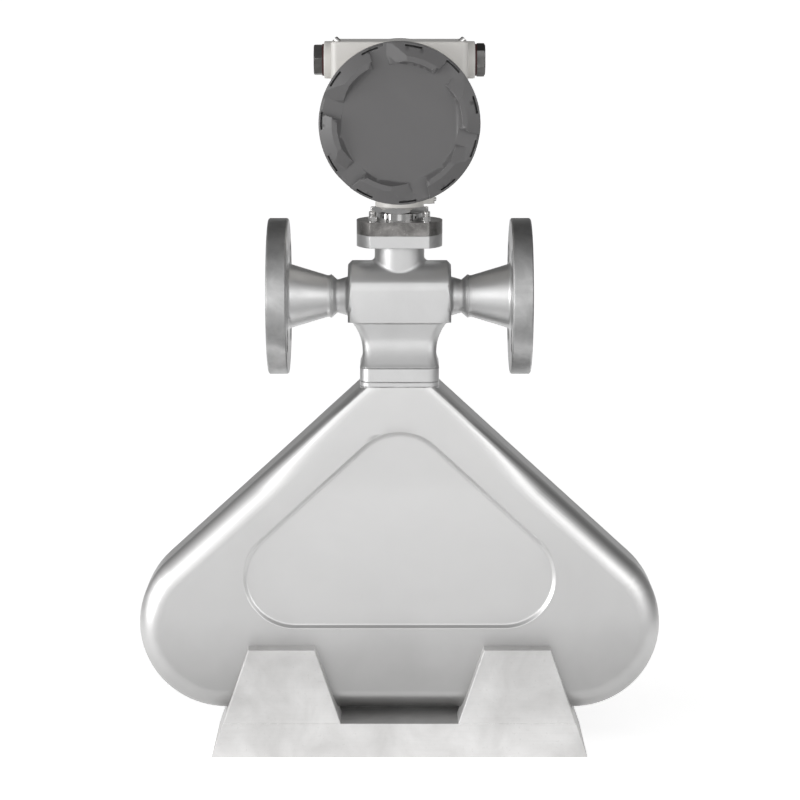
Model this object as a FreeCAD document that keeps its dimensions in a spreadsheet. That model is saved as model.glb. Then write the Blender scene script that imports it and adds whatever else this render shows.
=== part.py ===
import FreeCAD, Part
import math
import os
import re

import Sketcher

# Coriolis flow meter on its cradle. Millimetres, +Z up, +X along the flow line, the front is -Y.
# The origin lies on the floor, under the middle of the flow line.

SIZES = {
    # flow line and its weld-neck flanges; x is measured out from the middle of the meter
    "weld_x": 54.3,
    "weld_land": 3.0,
    "stub_land": 1.0,
    "pipe_radius": 16.7,
    "flange_bore_radius": 12.15,
    "flange_radius": 62.0,
    "flange_back_x": 88.0,
    "flange_thickness": 15.9,
    "rim_chamfer": 1.0,
    "raised_face_radius": 25.4,
    "raised_face_height": 1.6,
    "hub_radius": 26.0,
    "hub_fillet": 3.0,
    "bolt_circle_radius": 44.45,
    "bolt_hole_radius": 9.55,
    # manifold casting
    "block_half_length": 40.8,
    "block_half_depth": 26.8,
    "block_radius": 28.6,
    "block_drop": 18.0,
    "block_chamfer": 3.2,
    "stub_root_radius": 15.7,
    "stub_waist_x": 49.2,
    "stub_waist_radius": 13.2,
    "stub_bore_radius": 9.0,
    "chamber_near_x": 12.0,
    "chamber_far_x": 27.0,
    "chamber_radius": 17.3,
    "upper_neck_radius": 19.7,
    "upper_neck_rise": 40.6,
    "upper_neck_fillet": 3.5,
    "lower_neck_top_half_x": 38.2,
    "lower_neck_shoulder_half_x": 32.6,
    "lower_neck_waist_half_x": 29.2,
    "lower_neck_foot_half_x": 31.2,
    "lower_neck_shoulder_half_y": 25.6,
    "lower_neck_waist_half_y": 25.4,
    "lower_neck_foot_half_y": 30.0,
    "lower_neck_foot_drop": 53.6,
    "lower_neck_shoulder_drop": 9.0,
    "lower_neck_waist_rise": 12.0,
    "lower_neck_corner_radius": 8.0,
    "passage_radius": 5.0,
    # flow tubes and what they carry
    "tube_x": 20.0,
    "tube_y": 11.5,
    "tube_radius": 6.35,
    "tube_wall": 0.9,
    "tube_socket": 8.0,
    "tube_inset": 26.0,
    "tube_bend_radius": 30.0,
    "brace_thickness": 2.0,
    "brace_margin": 4.0,
    "brace_flat": 1.0,
    "brace_x": 48.0,
    "brace_pitch": 14.0,
    "coil_radius": 11.0,
    "coil_length": 7.0,
    "coil_bore_radius": 5.0,
    "magnet_radius": 4.0,
    "magnet_cup_radius": 8.0,
    "magnet_cup_length": 5.0,
    "magnet_reach": 9.0,
    "coil_stand_off": 20.0,
    "coil_gap": 1.0,
    "pickoff_x": 112.0,
    "saddle_half_width": 5.0,
    "sensor_length": 12.0,
    "sensor_width": 5.0,
    "sensor_height": 3.0,
    # pressed case
    "case_half_width": 209.5,
    "case_half_depth": 35.0,
    "case_slope_deg": 42.5,
    "case_corner_radius": 69.4,
    "case_apex_radius": 40.0,
    "case_edge_radius": 18.5,
    "case_wall": 3.0,
    "band_half_width": 16.0,
    "panel_inset": 36.0,
    "panel_rise": 68.7,
    "panel_depth": 3.0,
    "panel_corner_radius": 41.5,
    "panel_apex_radius": 41.5,
    "panel_draft_deg": 45.0,
    "panel_edge_radius": 2.4,
    # collar between the case and the manifold
    "collar_half_x": 31.3,
    "collar_half_y": 34.2,
    "collar_corner_radius": 10.0,
    "collar_wall": 4.0,
    "collar_front_wall": 6.0,
    "collar_rise": 15.773,
    "collar_reach": 40.0,
    # cradle
    "base_half_length": 150.8,
    "base_half_depth": 48.0,
    "base_height": 28.0,
    "cradle_lean_deg": 18.84,
    "case_gap": 6.0,
    "ear_rise": 60.8,
    "ear_inner_foot_x": 46.9,
    "ear_inner_top_x": 67.4,
    "ear_edge_radius": 1.0,
    # plates on the upper neck, with their studs
    "plate_radius": 34.0,
    "plate_half_depth": 24.9,
    "neck_plate_thickness": 9.7,
    "head_plate_thickness": 10.8,
    "plate_bore_radius": 12.0,
    "seal_groove_radius": 17.0,
    "seal_groove_depth": 2.0,
    "seal_radius": 1.2,
    "stud_circle_radius": 30.0,
    "stud_radius": 2.0,
    "stud_clearance": 0.2,
    "stud_engagement": 7.5,
    "stud_proud": 8.4,
    "washer_radius": 3.4,
    "washer_thickness": 0.6,
    "nut_flats": 6.0,
    "nut_height": 3.8,
    "feedthrough_radius": 8.0,
    "feedthrough_height": 5.0,
    "pin_radius": 0.5,
    "pin_height": 4.0,
    "pin_circle_radius": 4.0,
    # nipple and lock nut that carry the transmitter
    "ring_radius": 18.05,
    "ring_height": 5.8,
    "spanner_hole_radius": 1.0,
    "spanner_hole_depth": 3.0,
    "nipple_radius": 14.0,
    "nipple_bore_radius": 9.0,
    "nipple_reach": 14.0,
    "spigot_depth": 8.0,
    "thread_clearance": 0.3,
    "seat_gap": 0.2,
    "lock_nut_flats": 38.0,
    "lock_nut_height": 4.7,
    "lock_nut_turn_deg": 7.7,
    # transmitter housing
    "stem_drop": 69.4,
    "housing_radius": 60.5,
    "housing_half_depth": 46.0,
    "housing_edge_radius": 2.0,
    "cavity_radius": 52.0,
    "partition_front_y": 20.0,
    "partition_back_y": 14.4,
    "stem_radius": 19.2,
    "top_rise": 60.6,
    "top_half_x": 53.0,
    "top_half_y": 36.0,
    "top_edge_radius": 1.6,
    "top_corner_radius": 5.0,
    "top_wall": 6.0,
    "conduit_rise": 45.3,
    "boss_radius": 14.6,
    "boss_length": 6.0,
    "boss_edge_radius": 1.0,
    "lug_reach": 27.8,
    "lug_half_y": 6.0,
    "lug_height": 6.6,
    "lug_foot_rise": 2.2,
    "lug_end_radius": 7.0,
    "stem_bore_rise": 30.0,
    "hollow_back_y": 28.0,
    "thread_relief": 1.5,
    "lug_hole_radius": 1.0,
    "lug_hole_x": 22.4,
    # screw covers
    "cover_radius": 61.5,
    "cover_face_y": 72.0,
    "cover_wall": 5.0,
    "cover_bevel": 2.0,
    "cover_inner_radius": 49.0,
    "cover_thread_radius": 54.0,
    "cover_thread_length": 12.0,
    "seal_groove_floor": 51.2,
    "cover_seal_radius": 52.75,
    "cover_seal_section": 1.25,
    "lug_rise": 6.0,
    "lug_inner_radius": 45.0,
    "lug_crest_radius": 51.4,
    "lug_rim_rise": 1.2,
    "lug_ramp_top_x": 5.6,
    "lug_ramp_foot_x": 10.0,
    "lug_ramp_end_x": 14.0,
    "lug_steep_deg": 52.2,
    "lug_steep_inner_deg": 56.1,
    "lug_foot_deg": 101.7,
    "lug_foot_inner_deg": 99.5,
    "rim_slot_radius": 59.4,
    "rim_slot_width": 1.3,
    "rim_slot_half_deg": 6.5,
    "rim_slot_deg": 79.6,
    "rim_slot_depth": 5.0,
    "seal_width": 3.3,
    # conduit plugs
    "plug_shank_radius": 10.0,
    "plug_shank_length": 15.0,
    "plug_flats": 22.6,
    "plug_height": 6.6,
    "left_plug_turn_deg": 7.0,
    "right_plug_turn_deg": 25.0,
    "plug_seal_radius": 12.4,
    "plug_seal_thickness": 1.4,
    # electronics
    "board_radius": 46.0,
    "board_thickness": 1.6,
    "board_pitch": 9.0,
    "chip_pitch": 24.0,
    "board_gap": 6.0,
    "post_radius": 2.5,
    "post_circle_radius": 40.0,
    "block_chip_half": 9.0,
    "block_chip_height": 2.4,
    "terminal_half_x": 28.0,
    "terminal_half_z": 10.0,
    "terminal_depth": 12.0,
    "terminal_radius": 3.0,
    "terminal_head": 2.0,
    "terminal_pitch": 9.0,
    # small screws on the housing
    "top_screw_x": 47.6,
    "top_screw_y": 26.0,
    "top_screw_radius": 2.3,
    "top_screw_head": 3.2,
    "top_screw_lean_deg": 50.0,
    "lock_screw_radius": 1.5,
    "lock_screw_length": 5.0,
    "lock_screw_proud": 1.4,
    # how far a cutter reaches past what it cuts
    "cutter_margin": 1.0,
}

BOLTS = 4
STUDS = 4
BRACES_PER_LEG = 2
SPANNER_HOLES = 4
COVER_LUGS = 6
RIM_SLOTS = 11
FEEDTHROUGH_PINS = 9
TERMINALS = 5
POSTS = 4

# places that several pieces share, each worked out from the sizes
CASE_FOOT = "(base_height + case_gap)"
SLOPE_TOP = (f"({CASE_FOOT} + case_corner_radius + case_corner_radius / cos(case_slope_deg)"
             " + tan(case_slope_deg) * (case_half_width - case_corner_radius))")
COLLAR_TOP = f"({SLOPE_TOP} - tan(case_slope_deg) * collar_half_x + collar_rise)"
COLLAR_FOOT = f"({COLLAR_TOP} - collar_reach)"
AXIS_HEIGHT = f"({COLLAR_TOP} + lower_neck_foot_drop)"
NECK_TOP = f"({AXIS_HEIGHT} + upper_neck_rise)"
SEAM = f"({NECK_TOP} + neck_plate_thickness)"
HEAD_TOP = f"({SEAM} + head_plate_thickness)"
RING_TOP = f"({HEAD_TOP} + ring_height)"
NUT_FOOT = f"({RING_TOP} + seat_gap)"
STEM_FOOT = f"({NUT_FOOT} + lock_nut_height)"
HEAD_HEIGHT = f"({STEM_FOOT} + stem_drop)"
CONDUIT_HEIGHT = f"({HEAD_HEIGHT} + conduit_rise)"
HOUSING_TOP = f"({HEAD_HEIGHT} + top_rise)"
BOSS_END = "(top_half_x + boss_length)"
BORE_RADIUS = "(cover_thread_radius + thread_clearance)"
COVER_BACK = "(housing_half_depth + seat_gap)"

START, END, CENTRE = range(1, 4)
ORIGIN = (-1, 1)
FLAT = 0.01

doc = FreeCAD.newDocument("coriolis_flow_meter")
sheet = doc.addObject("Spreadsheet::Sheet", "sizes")
sub_parts = []


def fill_sheet():
    for row, (name, value) in enumerate(SIZES.items(), start=1):
        sheet.set(f"A{row}", name)
        sheet.set(f"B{row}", str(value))
        sheet.setAlias(f"B{row}", name)
    doc.recompute()


def ex(text):
    """An expression in plain size names, as the document needs it."""
    return re.sub(r"[a-z_]+", lambda word: f"sizes.{word[0]}" if word[0] in SIZES else word[0], str(text))


def number(text):
    return float(sheet.evalExpression(ex(text)))


def bind(thing, **properties):
    for name, text in properties.items():
        thing.setExpression(name.replace("__", "."), ex(text))
    return thing


def place(thing, x="0", y="0", z="0", axis=(0, 0, 1), angle="0"):
    """Put a primitive at a bound place, turned about an axis by a bound angle."""
    thing.Placement = FreeCAD.Placement(FreeCAD.Vector(), FreeCAD.Rotation(FreeCAD.Vector(*axis), 1))
    return bind(thing, Placement__Base__x=x, Placement__Base__y=y, Placement__Base__z=z,
                Placement__Rotation__Angle=angle)


def sub_part(thing, name):
    thing.Label = name
    sub_parts.append(thing)
    return thing


def new_body(name):
    body = doc.addObject("PartDesign::Body", name)
    body.Label = name
    return body


def new_sketch(body, role, x="0", y="0", offset="0", turn="0"):
    """A sketch on one of the body's origin planes, shifted in it, off it and turned in it."""
    sketch = body.newObject("Sketcher::SketchObject", f"{body.Name}_sketch")
    plane = next(feature for feature in body.Origin.OriginFeatures if feature.Role == role)
    sketch.AttachmentSupport = [(plane, "")]
    sketch.MapMode = "FlatFace"
    bind(sketch, AttachmentOffset__Base__x=x, AttachmentOffset__Base__y=y, AttachmentOffset__Base__z=offset,
         AttachmentOffset__Rotation__Angle=turn)
    return sketch


def hold(sketch, kind, *where, value):
    index = sketch.addConstraint(Sketcher.Constraint(kind, *where, number(value)))
    sketch.setExpression(f"Constraints[{index}]", ex(value))


def pin(sketch, geometry, vertex, x, y):
    hold(sketch, "DistanceX", *ORIGIN, geometry, vertex, value=x)
    hold(sketch, "DistanceY", *ORIGIN, geometry, vertex, value=y)


def short_arc(start, end, radius):
    """The arc under half a turn from start to end: anticlockwise, or clockwise for a negative radius."""
    chord = end - start
    sideways = FreeCAD.Vector(-chord.y, chord.x, 0).normalize()
    height = math.sqrt(max(radius ** 2 - (chord.Length / 2) ** 2, 0))
    centre = start + chord * 0.5 + sideways * math.copysign(height, radius)
    first, last = (start, end) if radius > 0 else (end, start)
    angles = [math.atan2(point.y - centre.y, point.x - centre.x) for point in (first, last)]
    circle = Part.Circle(centre, FreeCAD.Vector(0, 0, 1), abs(radius))
    return Part.ArcOfCircle(circle, angles[0], angles[1])


def add_side(sketch, start, end, radius=None):
    """Draw one side and say which of its vertices are its start and its end."""
    if radius is None:
        sketch.addGeometry(Part.LineSegment(start, end))
        return START, END
    sketch.addGeometry(short_arc(start, end, number(radius)))
    return (START, END) if number(radius) > 0 else (END, START)


def outline(sketch, corners, arcs=None):
    """A closed outline through corners, pairs of expressions; arcs gives the radius of each round side."""
    arcs = arcs or {}
    spots = [FreeCAD.Vector(number(x), number(y), 0) for x, y in corners]
    first = sketch.GeometryCount
    ends = [add_side(sketch, spot, spots[(side + 1) % len(spots)], arcs.get(side))
            for side, spot in enumerate(spots)]
    for side, (x, y) in enumerate(corners):
        after = (side + 1) % len(corners)
        sketch.addConstraint(Sketcher.Constraint("Coincident", first + side, ends[side][1],
                                                 first + after, ends[after][0]))
        pin(sketch, first + side, ends[side][0], x, y)
        if side in arcs:
            hold(sketch, "Radius", first + side, value=f"abs({arcs[side]})")
    return sketch


def circle(sketch, x, y, radius):
    spot = FreeCAD.Vector(number(x), number(y), 0)
    index = sketch.addGeometry(Part.Circle(spot, FreeCAD.Vector(0, 0, 1), number(radius)))
    pin(sketch, index, CENTRE, x, y)
    hold(sketch, "Radius", index, value=radius)
    return sketch


def rounded_rectangle(sketch, half_x, half_y, radius):
    inner_x, inner_y = f"({half_x} - {radius})", f"({half_y} - {radius})"
    corners = [(inner_x, f"-1 * {half_y}"), (half_x, f"-1 * {inner_y}"), (half_x, inner_y),
               (inner_x, half_y), (f"-1 * {inner_x}", half_y), (f"-1 * {half_x}", inner_y),
               (f"-1 * {half_x}", f"-1 * {inner_y}"), (f"-1 * {inner_x}", f"-1 * {half_y}")]
    return outline(sketch, corners, {side: radius for side in (0, 2, 4, 6)})


def rectangle(sketch, x_low, x_high, y_low, y_high):
    return outline(sketch, [(x_low, y_low), (x_high, y_low), (x_high, y_high), (x_low, y_high)])


def mirror_path(points):
    """Points on the +X side followed by their mirror images, back to front."""
    return points + [(f"-1 * ({x})", y) for x, y in reversed(points)]


def feature(body, kind, sketch, **properties):
    made = body.newObject(f"PartDesign::{kind}", f"{sketch.Name}_{kind.lower()}")
    made.Profile = sketch
    return bind(made, **properties)


def pad(body, sketch, length, both=False, back=False):
    made = feature(body, "Pad", sketch, Length=length)
    made.SideType = "Symmetric" if both else "One side"
    made.Reversed = back
    return made


def pocket(body, sketch, length, both=False, back=False):
    made = feature(body, "Pocket", sketch, Length=length)
    made.SideType = "Symmetric" if both else "One side"
    made.Reversed = back
    return made


def through(body, sketch):
    """Cut a sketch through the whole body, both ways."""
    made = feature(body, "Pocket", sketch)
    made.Type = "ThroughAll"
    made.SideType = "Symmetric"
    return made


def turned(body, sketch, axis="H_Axis", cut=False):
    made = feature(body, "Groove" if cut else "Revolution", sketch, Angle="360")
    made.ReferenceAxis = (sketch, [axis])
    return made


def pattern(body, features, sketch, count):
    """Repeat features about the normal of a sketch at its origin."""
    made = body.newObject("PartDesign::PolarPattern", f"{body.Name}_pattern")
    made.Originals = features
    made.Axis = (sketch, ["N_Axis"])
    made.Angle = 360
    made.Occurrences = count
    body.Tip = made
    return made


def edges_where(shape, test):
    return [f"Edge{index}" for index, edge in enumerate(shape.Edges, start=1) if test(edge)]


def dress(body, kind, test, **properties):
    """A fillet or chamfer on every edge of the body so far that passes a test."""
    doc.recompute()
    base = body.Tip
    names = edges_where(base.Shape, test)
    made = body.newObject(f"PartDesign::{kind}", f"{body.Name}_{kind.lower()}")
    made.Base = (base, names)
    return bind(made, **properties)


def on(value, wanted, slack=0.01):
    return abs(value - wanted) < slack


def spans(edge):
    box = edge.BoundBox
    return box.XLength, box.YLength, box.ZLength


def about_z(edge, radius):
    """True where the whole edge lies on an upright cylinder about the origin."""
    return all(on(math.hypot(point.x, point.y), radius, 0.05) for point in edge.discretize(5))


def cylinder(name, radius, height, **where):
    return place(bind(doc.addObject("Part::Cylinder", name), Radius=radius, Height=height), **where)


def box(name, length, width, height, **where):
    return place(bind(doc.addObject("Part::Box", name), Length=length, Width=width, Height=height), **where)


def hexagon(name, flats, height, **where):
    made = bind(doc.addObject("Part::Prism", name), Circumradius=f"{flats} / 2 / cos(30)", Height=height)
    made.Polygon = 6
    return place(made, **where)


def torus(name, radius, section, **where):
    return place(bind(doc.addObject("Part::Torus", name), Radius1=radius, Radius2=section), **where)


def cut(name, base, tool):
    made = doc.addObject("Part::Cut", name)
    made.Base, made.Tool = base, tool
    return made


def common(name, base, tool):
    made = doc.addObject("Part::Common", name)
    made.Base, made.Tool = base, tool
    return made


def fuse(name, pieces):
    made = doc.addObject("Part::MultiFuse", name)
    made.Shapes = pieces
    return made


def group(name, pieces):
    made = doc.addObject("Part::Compound", name)
    made.Links = pieces
    return made


ALONG_X = dict(axis=(0, 1, 0), angle="90")
ALONG_FRONT = dict(axis=(1, 0, 0), angle="90")
ALONG_BACK = dict(axis=(1, 0, 0), angle="-90")


def make_flange(name, side):
    """A weld-neck flange, turned about the flow line, with its ring of bolt holes."""
    body = new_body(name)
    section = new_sketch(body, "XZ_Plane", y=AXIS_HEIGHT)
    face = "flange_back_x + flange_thickness"
    points = [("weld_x", "flange_bore_radius"), ("weld_x", "pipe_radius"),
              ("weld_x + weld_land", "pipe_radius"), ("flange_back_x", "hub_radius"),
              ("flange_back_x", "flange_radius"), (face, "flange_radius"), (face, "raised_face_radius"),
              (f"{face} + raised_face_height", "raised_face_radius"),
              (f"{face} + raised_face_height", "flange_bore_radius")]
    outline(section, [(f"{side} * ({x})", y) for x, y in points])
    turned(body, section)
    back, front = side * number("flange_back_x"), side * number(face)
    rim = number("flange_radius")
    dress(body, "Chamfer", lambda edge: on(spans(edge)[2], 2 * rim) and
          (on(edge.BoundBox.XMin, back) or on(edge.BoundBox.XMin, front)), Size="rim_chamfer")
    hub = number("hub_radius")
    dress(body, "Fillet", lambda edge: on(spans(edge)[2], 2 * hub) and on(edge.BoundBox.XMin, back),
          Radius="hub_fillet")
    holes = new_sketch(body, "YZ_Plane", y=AXIS_HEIGHT, turn="45")
    circle(holes, "bolt_circle_radius", "0", "bolt_hole_radius")
    pattern(body, [through(body, holes)], holes, BOLTS)
    sub_part(body, name)


def make_manifold():
    """One casting: an arched block with a stub at each end, a neck above and a flared neck below."""
    body = new_body("manifold_block")
    arch = new_sketch(body, "YZ_Plane", y=AXIS_HEIGHT)
    rise = "sqrt(block_radius ^ 2 - block_half_depth ^ 2)"
    outline(arch, [("-1 * block_half_depth", "-1 * block_drop"), ("block_half_depth", "-1 * block_drop"),
                   ("block_half_depth", rise), ("-1 * block_half_depth", rise)], {2: "block_radius"})
    pad(body, arch, "2 * block_half_length", both=True)
    end, foot = number("block_half_length"), number(f"{AXIS_HEIGHT} - block_drop")
    dress(body, "Chamfer", lambda edge: edge.BoundBox.ZMax > foot + 1 and
          (spans(edge)[0] > end or on(abs(edge.BoundBox.Center.x), end)), Size="block_chamfer")
    stubs = new_sketch(body, "XZ_Plane", y=AXIS_HEIGHT)
    side = [("weld_x", "0"), ("weld_x", "pipe_radius"), ("weld_x - stub_land", "pipe_radius"),
            ("stub_waist_x", "stub_waist_radius"), ("block_half_length", "stub_root_radius")]
    outline(stubs, mirror_path(side))
    turned(body, stubs)
    neck = new_sketch(body, "XY_Plane", offset=AXIS_HEIGHT)
    circle(neck, "0", "0", "upper_neck_radius")
    pad(body, neck, "upper_neck_rise")
    radius, top = number("upper_neck_radius"), number(NECK_TOP)
    dress(body, "Fillet", lambda edge: about_z(edge, radius) and edge.BoundBox.ZMax < top - 1,
          Radius="upper_neck_fillet")
    add_lower_neck(body)
    add_flow_passages(body)
    sub_part(body, "manifold_block")


def add_lower_neck(body):
    """The flared foot of the casting, lofted through rounded rectangles."""
    foot = COLLAR_TOP
    block = f"({AXIS_HEIGHT} - block_drop)"
    shoulder, waist = f"({block} - lower_neck_shoulder_drop)", f"({foot} + lower_neck_waist_rise)"
    levels = [(block, "lower_neck_top_half_x", "block_half_depth"),
              (shoulder, "lower_neck_shoulder_half_x", "lower_neck_shoulder_half_y"),
              (waist, "lower_neck_waist_half_x", "lower_neck_waist_half_y"),
              (foot, "lower_neck_foot_half_x", "lower_neck_foot_half_y")]
    rings = []
    for height, half_x, half_y in levels:
        ring = new_sketch(body, "XY_Plane", offset=height)
        rings.append(rounded_rectangle(ring, half_x, half_y, "lower_neck_corner_radius"))
    loft = feature(body, "AdditiveLoft", rings[0])
    loft.Sections = rings[1:]


def add_flow_passages(body):
    """Each end's bore opens into a chamber that feeds both tubes; wires rise through the middle."""
    for side in (-1, 1):
        bore = new_sketch(body, "XZ_Plane", y=AXIS_HEIGHT)
        points = [("weld_x", "0"), ("weld_x", "flange_bore_radius"), ("stub_waist_x", "stub_bore_radius"),
                  ("chamber_far_x", "stub_bore_radius"), ("chamber_far_x", "chamber_radius"),
                  ("chamber_near_x", "chamber_radius"), ("chamber_near_x", "0")]
        outline(bore, [(f"{side} * ({x})", y) for x, y in points])
        turned(body, bore, cut=True)
    ports = new_sketch(body, "XY_Plane", offset=COLLAR_TOP)
    for x_side in (-1, 1):
        for y_side in (-1, 1):
            circle(ports, f"{x_side} * tube_x", f"{y_side} * tube_y", "tube_radius")
    pocket(body, ports, "lower_neck_foot_drop", back=True)
    passage = new_sketch(body, "XY_Plane")
    circle(passage, "0", "0", "passage_radius")
    through(body, passage)
    seat = new_sketch(body, "XY_Plane", offset=NECK_TOP)
    circle(seat, "0", "0", "feedthrough_radius")
    pocket(body, seat, "feedthrough_height")


def rounded_triangle(sketch, top, foot, corner, apex):
    """A tall triangle parallel to the case's slopes: its sides meet at top, its corners are round."""
    corner_x = f"(({top} - {foot}) / tan(case_slope_deg) - {corner} / tan(case_slope_deg / 2))"
    side_x = f"({corner_x} + {corner} * sin(case_slope_deg))"
    side_y = f"({foot} + {corner} * (1 + cos(case_slope_deg)))"
    apex_x = f"({apex} * sin(case_slope_deg))"
    apex_y = f"({top} - {apex_x} * tan(case_slope_deg))"
    points = [(f"-1 * {corner_x}", foot), (corner_x, foot), (side_x, side_y), (apex_x, apex_y),
              (f"-1 * {apex_x}", apex_y), (f"-1 * {side_x}", side_y)]
    return outline(sketch, points, {1: corner, 3: apex, 5: corner})


def make_case_solid(name, inset):
    """The case as one closed solid, drawn inset from its outer face, with both recessed panels."""
    body = new_body(name)
    face = new_sketch(body, "XZ_Plane")
    rounded_triangle(face, f"({SLOPE_TOP} - {inset} / cos(case_slope_deg))", f"({CASE_FOOT} + {inset})",
                     f"(case_corner_radius - {inset})", f"(case_apex_radius - {inset})")
    pad(body, face, f"2 * (case_half_depth - {inset})", both=True)
    depth = number(f"case_half_depth - {inset}")
    dress(body, "Fillet", lambda edge: on(abs(edge.BoundBox.Center.y), depth) and spans(edge)[1] < FLAT,
          Radius=f"case_edge_radius - {inset}")
    for side in (1, -1):
        press_panel(body, face, inset, side)
    return body


def press_panel(body, face, inset, side):
    """Press the soft-edged rounded triangle into the front face (side 1) or the back one (side -1)."""
    level = f"(case_half_depth - {inset})"
    grow = f"({inset} * tan(panel_draft_deg / 2))"
    recess = new_sketch(body, "XZ_Plane", offset=f"{side} * {level}")
    rounded_triangle(recess, f"({SLOPE_TOP} - (panel_inset - {grow}) / cos(case_slope_deg))",
                     f"({CASE_FOOT} + panel_rise - {grow})", f"(panel_corner_radius + {grow})",
                     f"(panel_apex_radius + {grow})")
    bind(pocket(body, recess, "panel_depth", back=side < 0), TaperAngle="-1 * panel_draft_deg")
    far_in = number(f"case_edge_radius + panel_edge_radius / 4 - {inset}")
    for depth in (level, f"({level} - panel_depth)"):
        plane = -side * number(depth)
        dress(body, "Fillet", lambda edge: on(edge.BoundBox.Center.y, plane) and spans(edge)[1] < FLAT
              and inside_outline(edge, face.Shape) > far_in, Radius="panel_edge_radius")


def inside_outline(edge, profile):
    """How far the middle of an edge lies inside a profile drawn in the XZ plane."""
    middle = edge.discretize(3)[1]
    return Part.Vertex(middle.x, 0, middle.z).distToShape(profile)[0]


def make_case():
    """Front and back shells pressed from sheet, and the band welded between them."""
    solid = make_case_solid("case_envelope", "0")
    hollow = cut("case_hollow", solid, make_case_solid("case_inside", "case_wall"))
    opening = new_body("case_opening")
    sketch = new_sketch(opening, "XY_Plane", offset=COLLAR_FOOT)
    collar_bore(sketch)
    pad(opening, sketch, "collar_reach + collar_rise")
    walls = cut("case_walls", hollow, opening)
    reach = "2 * (case_half_width + cutter_margin)"
    front, back = "(-1 * case_half_depth - cutter_margin)", "(case_half_depth + cutter_margin)"
    for name, low, high in (("case_front_shell", front, "-1 * band_half_width"),
                            ("case_side_band", "-1 * band_half_width", "band_half_width"),
                            ("case_rear_shell", "band_half_width", back)):
        slab = box(f"{name}_slab", reach, f"{high} - ({low})", SLOPE_TOP,
                   x="-1 * case_half_width - cutter_margin", y=low)
        sub_part(common(name, walls, slab), name)
    return solid


def collar_bore(sketch):
    return rounded_rectangle(sketch, "(collar_half_x - collar_wall)", "(collar_half_y - collar_front_wall)",
                             "(collar_corner_radius - collar_wall)")


def make_collar(case_envelope):
    """The rounded collar that joins the case to the manifold; its foot follows the case."""
    body = new_body("collar_blank")
    ring = new_sketch(body, "XY_Plane", offset=COLLAR_FOOT)
    rounded_rectangle(ring, "collar_half_x", "collar_half_y", "collar_corner_radius")
    pad(body, ring, "collar_reach")
    bore = new_sketch(body, "XY_Plane", offset=COLLAR_FOOT)
    collar_bore(bore)
    through(body, bore)
    sub_part(cut("case_collar", body, case_envelope), "case_collar")


def cradle_x(height):
    """Half length of the cradle at a height, on the leaning line of its ends."""
    return f"(base_half_length - ({height}) * tan(cradle_lean_deg))"


def make_cradle(case_envelope):
    """A heavy base with leaning ends, and four ears that hold the case at front and back."""
    body = new_body("cradle_base")
    side = new_sketch(body, "XZ_Plane")
    top_x = cradle_x("base_height")
    outline(side, [("-1 * base_half_length", "0"), ("base_half_length", "0"), (top_x, "base_height"),
                   (f"-1 * {top_x}", "base_height")])
    pad(body, side, "2 * base_half_depth", both=True)
    sub_part(body, "cradle_base")
    for depth_name, depth_side in (("front", -1), ("rear", 1)):
        for hand, x_side in (("left", -1), ("right", 1)):
            make_ear(f"cradle_ear_{depth_name}_{hand}", depth_side, x_side, case_envelope)


def make_ear(name, depth_side, x_side, case_envelope):
    """A leaning block on the base, hollowed to the case so that it holds it in front and from below."""
    body = new_body(f"{name}_blank")
    face = new_sketch(body, "XZ_Plane", offset=f"{-depth_side} * band_half_width")
    top = "(base_height + ear_rise)"
    corners = [("ear_inner_foot_x", "base_height"), (cradle_x("base_height"), "base_height"),
               (cradle_x(top), top), ("ear_inner_top_x", top)]
    outline(face, [(f"{x_side} * {x}", z) for x, z in corners])
    pad(body, face, "base_half_depth - band_half_width", back=depth_side > 0)
    front, high = number("base_half_depth"), number(top)
    dress(body, "Fillet", lambda edge: on(abs(edge.BoundBox.Center.y), front) and spans(edge)[1] < FLAT
          and edge.BoundBox.ZMax > high - FLAT, Radius="ear_edge_radius")
    sub_part(cut(name, body, case_envelope), name)


def make_plate(name, foot, thickness):
    """A round plate with flats at front and back, bored for the wires and the studs."""
    body = new_body(name)
    face = new_sketch(body, "XY_Plane", offset=foot)
    half = "sqrt(plate_radius ^ 2 - plate_half_depth ^ 2)"
    outline(face, [(f"-1 * {half}", "-1 * plate_half_depth"), (half, "-1 * plate_half_depth"),
                   (half, "plate_half_depth"), (f"-1 * {half}", "plate_half_depth")],
            {1: "plate_radius", 3: "plate_radius"})
    pad(body, face, thickness)
    bore = new_sketch(body, "XY_Plane", offset=foot)
    circle(bore, "0", "0", "plate_bore_radius")
    through(body, bore)
    return body


def stud_holes(body, foot, depth, radius):
    holes = new_sketch(body, "XY_Plane", offset=foot, turn="45")
    circle(holes, "stud_circle_radius", "0", radius)
    pattern(body, [pocket(body, holes, depth, back=True)], holes, STUDS)


def make_head_mount():
    """Two plates held by four studs, the nipple above them and the seal between them."""
    lower = make_plate("neck_plate", NECK_TOP, "neck_plate_thickness")
    stud_holes(lower, f"{SEAM} - stud_engagement", "stud_engagement", "stud_radius")
    sub_part(lower, "neck_plate")
    upper = make_plate("head_plate", SEAM, "head_plate_thickness")
    stud_holes(upper, SEAM, "head_plate_thickness", "stud_radius + stud_clearance")
    groove = new_sketch(upper, "XY_Plane", offset=SEAM)
    circle(groove, "0", "0", "seal_groove_radius - seal_radius - stud_clearance")
    circle(groove, "0", "0", "seal_groove_radius + seal_radius + stud_clearance")
    pocket(upper, groove, "seal_groove_depth + stud_clearance * 2", back=True)
    sub_part(upper, "head_plate")
    ring = torus("plate_seal", "seal_groove_radius", "seal_radius", z=f"{SEAM} + seal_radius")
    sub_part(ring, "plate_seal")
    make_fasteners()
    make_nipple()


def at_studs():
    reach = "(stud_circle_radius * cos(45))"
    return [(f"{x_side} * {reach}", f"{y_side} * {reach}") for x_side in (-1, 1) for y_side in (-1, 1)]


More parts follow.
